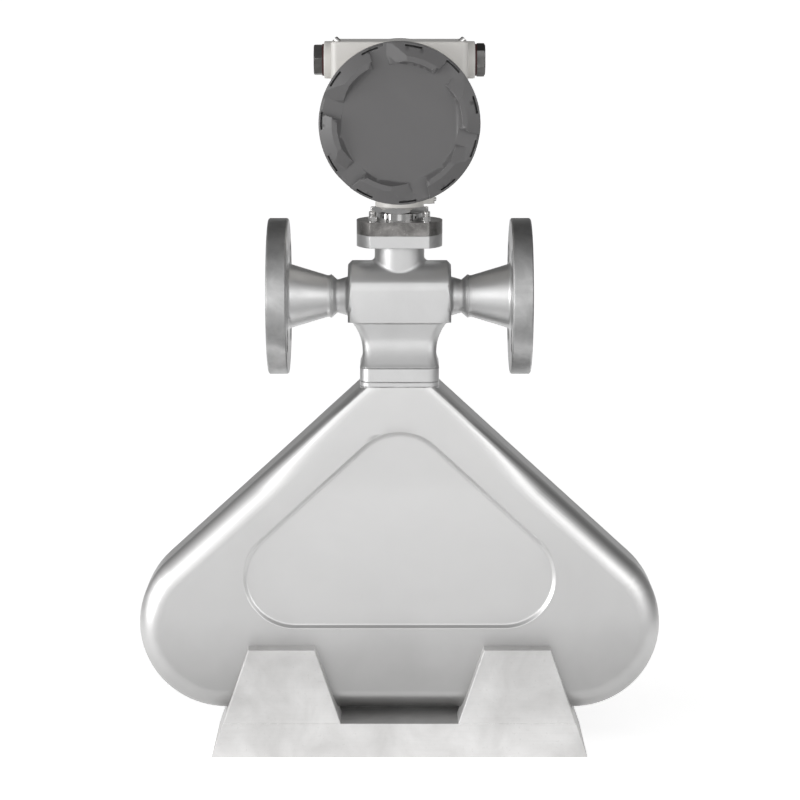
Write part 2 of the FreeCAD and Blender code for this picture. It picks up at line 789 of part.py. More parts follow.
def make_fasteners():
    studs, washers, nuts = [], [], []
    length = "head_plate_thickness + stud_engagement + stud_proud"
    foot = f"{SEAM} - stud_engagement"
    for index, (x, y) in enumerate(at_studs()):
        studs.append(cylinder(f"stud_{index}", "stud_radius", length, x=x, y=y, z=foot))
        disc = cylinder(f"washer_disc_{index}", "washer_radius", "washer_thickness", x=x, y=y, z=HEAD_TOP)
        blank = hexagon(f"nut_blank_{index}", "nut_flats", "nut_height", x=x, y=y,
                        z=f"{HEAD_TOP} + washer_thickness", angle="30")
        shank = cylinder(f"stud_hole_{index}", "stud_radius", length, x=x, y=y, z=SEAM)
        washers.append(cut(f"washer_{index}", disc, shank))
        nuts.append(cut(f"nut_{index}", blank, shank))
    sub_part(group("studs", studs), "plate_studs")
    sub_part(group("washers", washers), "plate_washers")
    sub_part(group("nuts", nuts), "plate_nuts")


def make_nipple():
    """The turned nipple: a polished ring with spanner holes, a spigot below and a threaded stem above."""
    body = new_body("coupling_nipple")
    section = new_sketch(body, "XZ_Plane")
    top = f"{RING_TOP} + nipple_reach"
    outline(section, [("nipple_bore_radius", f"{HEAD_TOP} - spigot_depth"),
                      ("plate_bore_radius", f"{HEAD_TOP} - spigot_depth"), ("plate_bore_radius", HEAD_TOP),
                      ("ring_radius", HEAD_TOP), ("ring_radius", RING_TOP), ("nipple_radius", RING_TOP),
                      ("nipple_radius", top), ("nipple_bore_radius", top)])
    turned(body, section, axis="V_Axis")
    hole = new_sketch(body, "YZ_Plane", y=f"{HEAD_TOP} + ring_height / 2",
                      offset="ring_radius - spanner_hole_depth")
    circle(hole, "0", "0", "spanner_hole_radius")
    drilled = pocket(body, hole, "spanner_hole_depth + cutter_margin", back=True)
    about = new_sketch(body, "XY_Plane")
    circle(about, "0", "0", "ring_radius")
    pattern(body, [drilled], about, SPANNER_HOLES)
    sub_part(place(body, angle="45"), "coupling_nipple")


def make_feedthrough():
    """The sealed disc that brings the coil wires up through the neck, with its ring of pins."""
    disc = cylinder("feedthrough_disc", "feedthrough_radius", "feedthrough_height",
                    z=f"{NECK_TOP} - feedthrough_height")
    pieces = [disc]
    pin_length = "feedthrough_height + 2 * pin_height"
    for index in range(FEEDTHROUGH_PINS):
        turn = f"({index} * 360 / {FEEDTHROUGH_PINS})"
        pieces.append(cylinder(f"feedthrough_pin_{index}", "pin_radius", pin_length,
                               x=f"pin_circle_radius * cos({turn})", y=f"pin_circle_radius * sin({turn})",
                               z=f"{NECK_TOP} - feedthrough_height - pin_height"))
    sub_part(fuse("feedthrough", pieces), "feedthrough")


TUBE_BIG_BEND = "(case_corner_radius - tube_inset)"
TUBE_SLOPE_TOP = f"({SLOPE_TOP} - tube_inset / cos(case_slope_deg))"
TUBE_FOOT = f"({CASE_FOOT} + tube_inset)"
TUBE_TOP = f"({COLLAR_TOP} + tube_socket)"


def tube_path():
    """Half of a tube's route, from its port to the middle of the bottom run's end."""
    centre_x, centre_z = "(case_half_width - case_corner_radius)", f"({CASE_FOOT} + case_corner_radius)"
    knee = f"({TUBE_SLOPE_TOP} - tan(case_slope_deg) * tube_x)"
    tangent = "(tube_bend_radius * tan((90 - case_slope_deg) / 2))"
    return [("tube_x", TUBE_TOP), ("tube_x", f"{knee} + {tangent}"),
            (f"tube_x + {tangent} * cos(case_slope_deg)", f"{knee} - {tangent} * sin(case_slope_deg)"),
            (f"{centre_x} + {TUBE_BIG_BEND} * sin(case_slope_deg)",
             f"{centre_z} + {TUBE_BIG_BEND} * cos(case_slope_deg)"), (centre_x, TUBE_FOOT)]


def open_path(sketch, corners, arcs):
    """An open run of lines and arcs through corners, each pinned to its place."""
    spots = [FreeCAD.Vector(number(x), number(y), 0) for x, y in corners]
    ends = []
    for side in range(len(corners) - 1):
        ends.append(add_side(sketch, spots[side], spots[side + 1], arcs.get(side)))
    for side, tips in enumerate(ends):
        pin(sketch, side, tips[0], *corners[side])
        if side + 1 < len(ends):
            sketch.addConstraint(Sketcher.Constraint("Coincident", side, tips[1],
                                                     side + 1, ends[side + 1][0]))
        if side in arcs:
            hold(sketch, "Radius", side, value=f"abs({arcs[side]})")
    pin(sketch, len(ends) - 1, ends[-1][1], *corners[-1])


def make_tube(name, y_side):
    """A thin-walled tube that leaves one port, runs round the case as a rounded triangle and returns."""
    body = new_body(name)
    route = new_sketch(body, "XZ_Plane", offset=f"{-y_side} * tube_y")
    half = tube_path()
    big_bend = f"-1 * {TUBE_BIG_BEND}"
    arcs = {1: "tube_bend_radius", 3: big_bend, 5: big_bend, 7: "tube_bend_radius"}
    open_path(route, mirror_path(half), arcs)
    ring = new_sketch(body, "XY_Plane", x="tube_x", y=f"{y_side} * tube_y", offset=TUBE_TOP)
    circle(ring, "0", "0", "tube_radius")
    circle(ring, "0", "0", "tube_radius - tube_wall")
    pipe = feature(body, "AdditivePipe", ring)
    pipe.Spine = (route, [])
    sub_part(body, name)


def on_slope(x):
    return f"({TUBE_SLOPE_TOP} - tan(case_slope_deg) * {x})"


def make_braces():
    """Plates on the sloping legs that tie the two tubes together below the manifold."""
    for hand, side in (("left", -1), ("right", 1)):
        plates = []
        for row in range(BRACES_PER_LEG):
            body = new_body(f"{hand}_brace_{row}")
            face = new_sketch(body, "XY_Plane")
            rounded_rectangle(face, "(tube_radius + brace_margin)", "(tube_y + tube_radius + brace_margin)",
                              "(tube_radius + brace_margin - brace_flat)")
            pad(body, face, "brace_thickness", both=True)
            holes = new_sketch(body, "XY_Plane")
            circle(holes, "0", "tube_y", "tube_radius")
            circle(holes, "0", "-1 * tube_y", "tube_radius")
            through(body, holes)
            x = f"(brace_x + {row} * brace_pitch)"
            plates.append(place(body, x=f"{side} * {x}", z=on_slope(x), axis=(0, 1, 0),
                                angle=f"{side} * (90 + case_slope_deg)"))
        sub_part(group(f"{hand}_brace_plates", plates), f"{hand}_braces")


def add_disc(body, side, near, far, radius):
    """A disc on the sensing axis between two distances from the middle plane, on one side of it."""
    face = new_sketch(body, "XZ_Plane", offset=f"{-side} * {near}")
    circle(face, "0", "coil_stand_off", radius)
    pad(body, face, f"{far} - {near}", back=side > 0)


def add_saddle(body, side):
    """A foot under the disc, cut to sit on the tube of its side."""
    foot = new_sketch(body, "XZ_Plane", offset=f"{-side} * coil_gap")
    rectangle(foot, "-1 * saddle_half_width", "saddle_half_width", "0", "coil_stand_off")
    pad(body, foot, "tube_y + saddle_half_width - coil_gap", back=side > 0)
    tube = new_sketch(body, "YZ_Plane")
    circle(tube, f"{side} * tube_y", "0", "tube_radius")
    through(body, tube)


def make_sensing_pair(coil_name, magnet_name, x, z, lean):
    """A coil on the front tube and a magnet on the rear one; the magnet's pole reaches into the coil."""
    coil, magnet = new_body(coil_name), new_body(magnet_name)
    add_disc(coil, -1, "coil_gap", "(coil_gap + coil_length)", "coil_radius")
    add_saddle(coil, -1)
    bore = new_sketch(coil, "XZ_Plane")
    circle(bore, "0", "coil_stand_off", "coil_bore_radius")
    through(coil, bore)
    add_disc(magnet, 1, "coil_gap", "(coil_gap + magnet_cup_length)", "magnet_cup_radius")
    add_saddle(magnet, 1)
    add_disc(magnet, 1, "(-1 * magnet_reach)", "coil_gap", "magnet_radius")
    for body, name in ((coil, coil_name), (magnet, magnet_name)):
        sub_part(place(body, x=x, z=z, axis=(0, 1, 0), angle=lean), name)


def make_sensing_parts():
    make_sensing_pair("drive_coil", "drive_magnet", "0", TUBE_FOOT, "0")
    for hand, side in (("left", -1), ("right", 1)):
        make_sensing_pair(f"{hand}_pickoff_coil", f"{hand}_pickoff_magnet", f"{side} * pickoff_x",
                          on_slope("pickoff_x"), f"180 + {side} * case_slope_deg")
    body = new_body("temperature_sensor")
    face = new_sketch(body, "XZ_Plane", offset="tube_y - sensor_width / 2")
    rectangle(face, "-1 * sensor_length / 2", "sensor_length / 2", "0", "tube_radius + sensor_height")
    pad(body, face, "sensor_width")
    tube = new_sketch(body, "YZ_Plane")
    circle(tube, "-1 * tube_y", "0", "tube_radius")
    through(body, tube)
    where = "(pickoff_x - 2 * brace_pitch)"
    place(body, x=f"-1 * {where}", z=on_slope(where), axis=(0, 1, 0), angle="-1 * case_slope_deg")
    sub_part(body, "temperature_sensor")


def make_housing():
    """The cast housing: a barrel with a conduit box across its top, a stem below and a locking lug."""
    body = new_body("transmitter_housing")
    crown = new_sketch(body, "XY_Plane", offset=HEAD_HEIGHT)
    rounded_rectangle(crown, "top_half_x", "top_half_y", "top_corner_radius")
    pad(body, crown, "top_rise")
    top = number(HOUSING_TOP)
    dress(body, "Fillet", lambda edge: on(edge.BoundBox.ZMin, top), Radius="top_edge_radius")
    bosses = new_sketch(body, "YZ_Plane", y=CONDUIT_HEIGHT)
    circle(bosses, "0", "0", "boss_radius")
    pad(body, bosses, f"2 * {BOSS_END}", both=True)
    end = number(BOSS_END)
    dress(body, "Fillet", lambda edge: on(abs(edge.BoundBox.Center.x), end) and spans(edge)[0] < FLAT,
          Radius="boss_edge_radius")
    barrel = new_sketch(body, "XZ_Plane", y=HEAD_HEIGHT)
    circle(barrel, "0", "0", "housing_radius")
    pad(body, barrel, "2 * housing_half_depth", both=True)
    mouth = number("housing_half_depth")
    dress(body, "Fillet", lambda edge: on(abs(edge.BoundBox.Center.y), mouth) and spans(edge)[1] < FLAT,
          Radius="housing_edge_radius")
    stem = new_sketch(body, "XY_Plane", offset=STEM_FOOT)
    circle(stem, "0", "0", "stem_radius")
    pad(body, stem, "stem_drop")
    add_locking_lug(body)
    hollow_housing(body)
    sub_part(body, "transmitter_housing")


def add_locking_lug(body):
    lug = new_sketch(body, "XY_Plane", offset=f"{STEM_FOOT} + lug_foot_rise")
    side_x = "(lug_reach - lug_end_radius + sqrt(lug_end_radius ^ 2 - lug_half_y ^ 2))"
    outline(lug, [("0", "-1 * lug_half_y"), (side_x, "-1 * lug_half_y"), (side_x, "lug_half_y"),
                  ("0", "lug_half_y")], {1: "lug_end_radius"})
    pad(body, lug, "lug_height")


def hollow_housing(body):
    """Two round compartments either side of a partition, and every bore that leads into them."""
    for side, deep in ((1, "housing_half_depth - partition_front_y"),
                       (-1, "housing_half_depth + partition_back_y")):
        for radius, depth in (("cavity_radius", deep),
                              (BORE_RADIUS, "cover_thread_length + seal_width + thread_relief")):
            mouth = new_sketch(body, "XZ_Plane", y=HEAD_HEIGHT, offset=f"{side} * housing_half_depth")
            circle(mouth, "0", "0", radius)
            pocket(body, mouth, depth, back=side < 0)
    hollow = new_sketch(body, "XY_Plane", offset=HEAD_HEIGHT)
    reach = f"({BOSS_END} - plug_shank_length)"
    rectangle(hollow, f"-1 * {reach}", reach, "-1 * partition_back_y", "hollow_back_y")
    pocket(body, hollow, "top_rise - top_wall", back=True)
    conduit = new_sketch(body, "YZ_Plane", y=CONDUIT_HEIGHT)
    circle(conduit, "0", "0", "plug_shank_radius + thread_clearance")
    through(body, conduit)
    stem = new_sketch(body, "XY_Plane", offset=STEM_FOOT)
    circle(stem, "0", "0", "nipple_radius + thread_clearance")
    pocket(body, stem, "stem_bore_rise", back=True)
    eye = new_sketch(body, "XY_Plane", offset=STEM_FOOT)
    circle(eye, "lug_hole_x", "0", "lug_hole_radius")
    pocket(body, eye, "lug_foot_rise + lug_height", back=True)
    screw = new_sketch(body, "YZ_Plane", y=f"{STEM_FOOT} + lug_foot_rise + lug_height / 2",
                       offset="lug_reach - lock_screw_length + lock_screw_proud")
    circle(screw, "0", "0", "lock_screw_radius")
    pocket(body, screw, "lock_screw_length", back=True)


def hexagon_outline(sketch, flats):
    corner = f"({flats} / 2 / cos(30))"
    turns = range(0, 360, 60)
    return outline(sketch, [(f"{corner} * cos({turn})", f"{corner} * sin({turn})") for turn in turns])


def bevel_end(body, role, shift, flats, end, inward):
    """Turn the six corners of one end down to a 30 degree bevel; inward points into the piece."""
    section = new_sketch(body, role, y=shift)
    corner = f"({flats} / 2 / cos(30) + cutter_margin)"
    slope = f"{inward} * ({corner} - {flats} / 2) * tan(30)"
    outer = f"({end} - {inward} * cutter_margin)"
    points = [(f"{flats} / 2", end), (corner, f"{end} + {slope}"), (corner, outer), (f"{flats} / 2", outer)]
    return section, points


def make_lock_nut():
    body = new_body("lock_nut")
    face = new_sketch(body, "XY_Plane", offset=NUT_FOOT)
    hexagon_outline(face, "lock_nut_flats")
    pad(body, face, "lock_nut_height")
    for end, inward in ((NUT_FOOT, 1), (STEM_FOOT, -1)):
        section, points = bevel_end(body, "XZ_Plane", "0", "lock_nut_flats", end, inward)
        outline(section, points)
        turned(body, section, axis="V_Axis", cut=True)
    bore = new_sketch(body, "XY_Plane", offset=NUT_FOOT)
    circle(bore, "0", "0", "nipple_radius + thread_clearance")
    through(body, bore)
    sub_part(place(body, angle="-1 * lock_nut_turn_deg"), "lock_nut")


def polar(radius, angle):
    return f"{radius} * cos({angle})", f"{radius} * sin({angle})"


def make_cover(name, turn):
    """A screw cover with six ramped lugs, drawn at the front and turned to its side of the housing."""
    body = new_body(name)
    section = new_sketch(body, "YZ_Plane", y=HEAD_HEIGHT)
    groove_end = f"({COVER_BACK} - seal_width)"
    thread_end = f"({groove_end} - cover_thread_length)"
    floor = "(cover_face_y - cover_wall)"
    points = [("cover_face_y", "0"), ("cover_face_y", "cover_radius - cover_bevel"),
              ("cover_face_y - cover_bevel", "cover_radius"), (COVER_BACK, "cover_radius"),
              (COVER_BACK, "seal_groove_floor"), (groove_end, "seal_groove_floor"),
              (groove_end, "cover_thread_radius"), (thread_end, "cover_thread_radius"),
              (thread_end, "cover_inner_radius"), (floor, "cover_inner_radius"), (floor, "0")]
    outline(section, [(f"-1 * ({y})", radius) for y, radius in points])
    turned(body, section)
    add_cover_lugs(body)
    add_rim_slots(body)
    sub_part(place(body, angle=turn), name)


def add_cover_lugs(body):
    face = new_sketch(body, "XZ_Plane", y=HEAD_HEIGHT, offset="cover_face_y - cover_bevel")
    outline(face, [polar("cover_radius", "lug_steep_deg"), polar("cover_radius", "lug_foot_deg"),
                   polar("lug_inner_radius", "lug_foot_inner_deg"),
                   polar("lug_inner_radius", "lug_steep_inner_deg")],
            {0: "cover_radius", 2: "-1 * lug_inner_radius"})
    lug = pad(body, face, "lug_rise + cover_bevel")
    above = "(-1 * (cover_face_y + lug_rise + cutter_margin))"
    ramp = new_sketch(body, "XY_Plane", offset=HEAD_HEIGHT)
    outline(ramp, [("lug_ramp_top_x", "-1 * (cover_face_y + lug_rise)"), ("lug_ramp_top_x", above),
                   ("-1 * lug_ramp_end_x", above), ("-1 * lug_ramp_end_x", "-1 * cover_face_y"),
                   ("-1 * lug_ramp_foot_x", "-1 * cover_face_y")])
    slope = pocket(body, ramp, "cover_radius + cutter_margin", back=True)
    pattern(body, [lug, slope], face, COVER_LUGS)
    bevel = new_sketch(body, "YZ_Plane", y=HEAD_HEIGHT)
    outline(bevel, [(above, "lug_crest_radius"), ("-1 * (cover_face_y + lug_rise)", "lug_crest_radius"),
                    ("-1 * (cover_face_y + lug_rim_rise)", "cover_radius"),
                    ("-1 * (cover_face_y + lug_rim_rise)", "cover_radius + cutter_margin"),
                    (above, "cover_radius + cutter_margin")])
    turned(body, bevel, cut=True)


def add_rim_slots(body):
    face = new_sketch(body, "XZ_Plane", y=HEAD_HEIGHT, offset="cover_face_y + lug_rise")
    inner, outer = "(rim_slot_radius - rim_slot_width / 2)", "(rim_slot_radius + rim_slot_width / 2)"
    first, last = "(rim_slot_deg - rim_slot_half_deg)", "(rim_slot_deg + rim_slot_half_deg)"
    outline(face, [polar(outer, first), polar(outer, last), polar(inner, last), polar(inner, first)],
            {0: outer, 2: f"-1 * {inner}"})
    slot = pocket(body, face, "lug_rise + rim_slot_depth")
    pattern(body, [slot], face, RIM_SLOTS)


def make_covers():
    seal_y = f"({COVER_BACK} - seal_width / 2)"
    for name, side, turn in (("front_cover", -1, "0"), ("rear_cover", 1, "180")):
        make_cover(name, turn)
        sub_part(torus(f"{name}_ring", "cover_seal_radius", "cover_seal_section", y=f"{side} * {seal_y}",
                       z=HEAD_HEIGHT, **ALONG_FRONT), f"{name}_seal")


def make_plug(hand, turn, about):
    """A hexagon plug for one conduit entry, drawn on the right and turned to its side, with its seal."""
    body = new_body(f"{hand}_conduit_plug")
    seat = f"({BOSS_END} + plug_seal_thickness)"
    head = new_sketch(body, "YZ_Plane", y=CONDUIT_HEIGHT, offset=seat, turn=turn)
    hexagon_outline(head, "plug_flats")
    pad(body, head, "plug_height")
    shank = new_sketch(body, "YZ_Plane", y=CONDUIT_HEIGHT, offset=seat)
    circle(shank, "0", "0", "plug_shank_radius")
    pad(body, shank, "plug_shank_length", back=True)
    end = f"({seat} + plug_height)"
    section, points = bevel_end(body, "XZ_Plane", CONDUIT_HEIGHT, "plug_flats", end, -1)
    outline(section, [(x, radius) for radius, x in points])
    turned(body, section, cut=True)
    sub_part(place(body, angle=about), f"{hand}_conduit_plug")
    washer = new_body(f"{hand}_plug_seal")
    ring = new_sketch(washer, "YZ_Plane", y=CONDUIT_HEIGHT, offset=BOSS_END)
    circle(ring, "0", "0", "plug_shank_radius + thread_clearance")
    circle(ring, "0", "0", "plug_seal_radius")
    pad(washer, ring, "plug_seal_thickness")
    sub_part(place(washer, angle=about), f"{hand}_plug_seal")


def make_board(name, level, chips):
    """A round circuit board with its chips, level being how far in front of the middle it starts."""
    body = new_body(name)
    face = new_sketch(body, "XZ_Plane", y=HEAD_HEIGHT, offset=level)
    circle(face, "0", "0", "board_radius")
    pad(body, face, "board_thickness")
    for x, z, half_x, half_z in chips:
        chip = new_sketch(body, "XZ_Plane", y=HEAD_HEIGHT, offset=f"{level} + board_thickness")
        rectangle(chip, f"{x} - {half_x}", f"{x} + {half_x}", f"{z} - {half_z}", f"{z} + {half_z}")
        pad(body, chip, "block_chip_height")
    holes = new_sketch(body, "XZ_Plane", y=HEAD_HEIGHT, turn="45")
    circle(holes, "post_circle_radius", "0", "post_radius")
    pattern(body, [through(body, holes)], holes, POSTS)
    sub_part(body, name)


def make_electronics():
    near, far = "(partition_front_y + board_gap)", "(partition_front_y + board_gap + board_pitch)"
    wide, small = "block_chip_half", "(block_chip_half / 2)"
    make_board("power_board", near, [("chip_pitch", "0", wide, wide),
                                     ("-1 * chip_pitch", "0", small, wide)])
    make_board("main_board", far, [("0", "0", wide, wide), ("chip_pitch", "chip_pitch / 2", small, small),
                                   ("-1 * chip_pitch", "-1 * chip_pitch / 2", small, wide),
                                   ("0", "-1 * chip_pitch", wide, small)])
    reach = "(post_circle_radius * cos(45))"
    posts = [cylinder(f"post_{x}_{z}", "post_radius", f"{far} + 2 * board_thickness - partition_front_y",
                      x=f"{x} * {reach}", y="-1 * partition_front_y", z=f"{HEAD_HEIGHT} + {z} * {reach}",
                      **ALONG_FRONT) for x in (-1, 1) for z in (-1, 1)]
    sub_part(group("posts", posts), "board_posts")
    block = box("terminal_blank", "2 * terminal_half_x", "terminal_depth", "2 * terminal_half_z",
                x="-1 * terminal_half_x", y="-1 * partition_back_y", z=f"{HEAD_HEIGHT} - terminal_half_z")
    sub_part(block, "terminal_block")
    screws = [cylinder(f"terminal_{index}", "terminal_radius", "terminal_head",
                       x=f"({index} - ({TERMINALS} - 1) / 2) * terminal_pitch",
                       y="terminal_depth - partition_back_y", z=HEAD_HEIGHT, **ALONG_BACK)
              for index in range(TERMINALS)]
    sub_part(group("terminals", screws), "terminal_screws")


def make_small_screws():
    """Two leaning screw heads on top of the housing and the locking screw in its lug."""
    heads = []
    for side in (-1, 1):
        lean = f"{-side} * top_screw_lean_deg"
        head = cylinder(f"top_screw_head_{side}", "top_screw_radius", "2 * top_screw_head",
                        x=f"{side} * top_screw_x - top_screw_head * sin({lean})", y="-1 * top_screw_y",
                        z=f"{HOUSING_TOP} - top_screw_head * cos({lean})", axis=(0, 1, 0), angle=lean)
        slab = box(f"top_screw_slab_{side}", "top_half_x", "top_half_y", "top_wall",
                   x=f"{side} * top_screw_x - top_half_x / 2", y="-1 * top_screw_y - top_half_y / 2",
                   z=f"{HOUSING_TOP} - top_wall")
        heads.append(cut(f"top_screw_{side}", head, slab))
    sub_part(group("top_screw_heads", heads), "top_screws")
    screw = cylinder("set_screw", "lock_screw_radius", "lock_screw_length",
                     x="lug_reach - lock_screw_length + lock_screw_proud",
                     z=f"{STEM_FOOT} + lug_foot_rise + lug_height / 2", **ALONG_X)
    sub_part(screw, "lock_screw")


def build():
    fill_sheet()
    make_flange("inlet_flange", -1)
    make_flange("outlet_flange", 1)
    make_manifold()
    case_envelope = make_case()
    make_collar(case_envelope)
    make_cradle(case_envelope)
    make_head_mount()
    make_feedthrough()
    make_tube("flow_tube_front", -1)
    make_tube("flow_tube_rear", 1)
    make_braces()
    make_sensing_parts()
    make_housing()
    make_lock_nut()
    make_covers()
    make_plug("left", "left_plug_turn_deg", "180")
    make_plug("right", "right_plug_turn_deg", "0")
    make_electronics()
    make_small_screws()
    doc.recompute()


def check_and_export():
    os.makedirs("parts", exist_ok=True)
    for thing in doc.Objects:
        if "Invalid" in thing.State or "Error" in thing.State:
            raise RuntimeError(f"{thing.Name} did not recompute: {thing.State}")
    for thing in sub_parts:
        if thing.Shape.isNull() or not thing.Shape.isValid():
            raise RuntimeError(f"{thing.Label} has no valid shape")
        thing.Shape.exportStep(f"parts/{thing.Label}.step")


build()
check_and_export()
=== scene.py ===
import math

import bmesh
import bpy
from mathutils import Euler, Matrix, Vector


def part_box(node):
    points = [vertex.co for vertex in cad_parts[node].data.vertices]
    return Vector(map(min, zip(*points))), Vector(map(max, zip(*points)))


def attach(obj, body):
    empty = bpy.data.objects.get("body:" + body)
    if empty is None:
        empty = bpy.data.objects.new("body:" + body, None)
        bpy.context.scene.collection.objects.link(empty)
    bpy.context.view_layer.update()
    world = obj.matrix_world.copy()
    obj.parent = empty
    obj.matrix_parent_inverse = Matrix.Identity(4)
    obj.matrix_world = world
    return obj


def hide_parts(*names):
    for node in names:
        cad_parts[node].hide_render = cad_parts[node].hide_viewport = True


# Looks of the Coriolis flow meter. Metres, +Z up, +X along the flow line, the front is -Y.

MM = 0.001

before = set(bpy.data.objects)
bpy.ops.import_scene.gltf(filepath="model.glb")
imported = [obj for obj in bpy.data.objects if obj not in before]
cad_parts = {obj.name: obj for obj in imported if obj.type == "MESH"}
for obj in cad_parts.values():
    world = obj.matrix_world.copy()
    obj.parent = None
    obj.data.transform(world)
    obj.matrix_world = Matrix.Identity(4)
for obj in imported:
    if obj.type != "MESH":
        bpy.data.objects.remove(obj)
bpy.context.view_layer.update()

# places read from the frame
HEAD_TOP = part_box("head_plate")[1].z
STUD_SPAN = [corner.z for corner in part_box("plate_studs")]
COLLAR_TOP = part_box("case_collar")[1].z
CASE_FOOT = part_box("case_front_shell")[0].z
COVER_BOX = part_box("front_cover")
HEAD_HEIGHT = (COVER_BOX[0].z + COVER_BOX[1].z) / 2
AXIS_HEIGHT = (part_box("inlet_flange")[0].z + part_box("inlet_flange")[1].z) / 2
FACE_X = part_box("outlet_flange")[1].x
HOUSING_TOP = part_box("transmitter_housing")[1].z
LOCK_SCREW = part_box("lock_screw")
PLUG_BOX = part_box("right_conduit_plug")
CONDUIT_HEIGHT = (PLUG_BOX[0].z + PLUG_BOX[1].z) / 2

# fasteners on the head plate
STUDS = 4
STUD_RADIUS = 2.0 * MM
STUD_CIRCLE_RADIUS = 30.0 * MM
THREAD_PITCH = 0.7 * MM
THREAD_DEPTH = 0.25 * MM
STUD_TIP = 1.1 * MM
NUT_FLATS = 6.0 * MM
NUT_HEIGHT = 3.8 * MM
NUT_SINK = 0.35 * MM
WASHER_RADIUS = 3.4 * MM
WASHER_THICKNESS = 0.6 * MM
WASHER_EDGE = 0.12 * MM

# how join_rings closes the ends of a piece
CAP = "cap"

# small screws on the housing
TOP_SCREW_PLACE = (47.6 * MM, -26.0 * MM)
TOP_SCREW_RADIUS = 2.3 * MM
TOP_SCREW_HEIGHT = 3.2 * MM
TOP_SCREW_LEAN = 50.0
SLOT_WIDTH = 0.8 * MM
SLOT_DEPTH = 1.1 * MM
LOCK_SCREW_RADIUS = 1.5 * MM
SOCKET_FLATS = 1.5 * MM
SOCKET_DEPTH = 1.8 * MM

# where the looks follow the photograph more closely than the solids
DRAWN_UP = 0.98
BLOCK_DROP = 18.0 * MM
NECK_UNDERCUT = 0.13
COLLAR_END = COLLAR_TOP - 15.6 * MM
CASE_EDGE = 18.5 * MM
CASE_TIGHT = (COLLAR_TOP - 100 * MM, COLLAR_TOP - 20 * MM)
CASE_END = COLLAR_TOP - 14.6 * MM
COVER_WAIST = 57.0 * MM
COVER_FACE = 72.0 * MM
LUG_INNER_RADIUS = 45.0 * MM
LUG_WALL_SLACK = 0.15 * MM
LUG_DRAFT = 0.42
REAR_RIM = 0.66
CASE_SLOPE = math.radians(42.5)
SLOPE_TOP = COLLAR_TOP + 12.9 * MM
PANEL_EXTRA = (-0.8 * MM, 2.0 * MM)
CASE_APEX_RADIUS = 40.0 * MM
PANEL_RADIUS = 41.5 * MM
PANEL_INSET = 36.0 * MM
PANEL_RISE = 68.7 * MM
PANEL_APEX = SLOPE_TOP - (PANEL_INSET + PANEL_RADIUS) / math.cos(CASE_SLOPE)
PANEL_FOOT = CASE_FOOT + PANEL_RISE + PANEL_RADIUS
PANEL_CORNER = ((PANEL_APEX - PANEL_FOOT) / math.tan(CASE_SLOPE), PANEL_FOOT)

# light and camera
SURROUND_STRENGTH = 1.62
FLOOR_REACH = 60.0
CAMERA_PLACE = (0.0, -2.0174, 0.63106)
CAMERA_TILT = 9.8
SENSOR_WIDTH = 36.0
FOCAL_LENGTH = 114.93
SIDE_SHIFT = 0.5 / 800

# finishes
COLLAR_WELDS = ((COLLAR_TOP - 10.6 * MM, 0.5 * MM), (COLLAR_TOP - 14.6 * MM, 0.7 * MM))
# how high above the case's foot its painted shade reaches
SHADE_RISE = 88.0 * MM
HUB_RADII = (36.0 * MM, 28.0 * MM)
FACE_RING_PITCH = 0.9 * MM

# welds
HUB_WELD_X = 54.3 * MM
HUB_WELD_RADIUS = 16.5 * MM
HUB_BEAD_RADIUS = 0.9 * MM
RIPPLE_LENGTH = 2.2 * MM

# threads that show when a cover or a plug is screwed out
COVER_THREAD_RADIUS = 54.3 * MM
COVER_THREAD_PITCH = 2.0 * MM
PLUG_THREAD_RADIUS = 10.3 * MM
PLUG_THREAD_PITCH = 1.5 * MM
COVER_THREAD_REACH = -COVER_BOX[1].y + 12.0 * MM
PLUG_THREAD_REACH = PLUG_BOX[0].x + 15.0 * MM


# node trees

def node(tree, kind, inputs=None, **settings):
    """A node with its settings; inputs holds values or the sockets that feed it."""
    made = tree.nodes.new(kind)
    for name, value in settings.items():
        setattr(made, name, value)
    for name, value in (inputs or {}).items():
        if isinstance(value, bpy.types.NodeSocket):
            tree.links.new(value, made.inputs[name])
        else:
            made.inputs[name].default_value = value
    return made


def math_node(tree, operation, first, second=0.0, clamp=False):
    made = node(tree, "ShaderNodeMath", {0: first, 1: second}, operation=operation, use_clamp=clamp)
    return made.outputs[0]


def plus(tree, first, second, clamp=False):
    return math_node(tree, "ADD", first, second, clamp)


def minus(tree, first, second):
    return math_node(tree, "SUBTRACT", first, second)


def times(tree, first, second, clamp=False):
    return math_node(tree, "MULTIPLY", first, second, clamp)


def noise(tree, place, scale, detail, **more):
    return node(tree, "ShaderNodeTexNoise", {"Vector": place, "Scale": scale, "Detail": detail,
                                             **more}).outputs["Fac"]


def remap(tree, value, low, high, to_low=0.0, to_high=1.0):
    return node(tree, "ShaderNodeMapRange", {"Value": value, "From Min": low, "From Max": high,
                                             "To Min": to_low, "To Max": to_high}).outputs["Result"]


def smooth_step(tree, value, low, high):
    return node(tree, "ShaderNodeMapRange", {"Value": value, "From Min": low, "From Max": high},
                interpolation_type="SMOOTHSTEP").outputs["Result"]


def split(tree, place):
    parts = node(tree, "ShaderNodeSeparateXYZ", {0: place}).outputs
    return parts["X"], parts["Y"], parts["Z"]


def mix_colour(tree, factor, first, second, blend="MIX"):
    made = node(tree, "ShaderNodeMix", data_type="RGBA", blend_type=blend)
    for index, value in ((0, factor), (6, first), (7, second)):
        if isinstance(value, bpy.types.NodeSocket):
            tree.links.new(value, made.inputs[index])
        else:
            made.inputs[index].default_value = value
    return made.outputs[2]


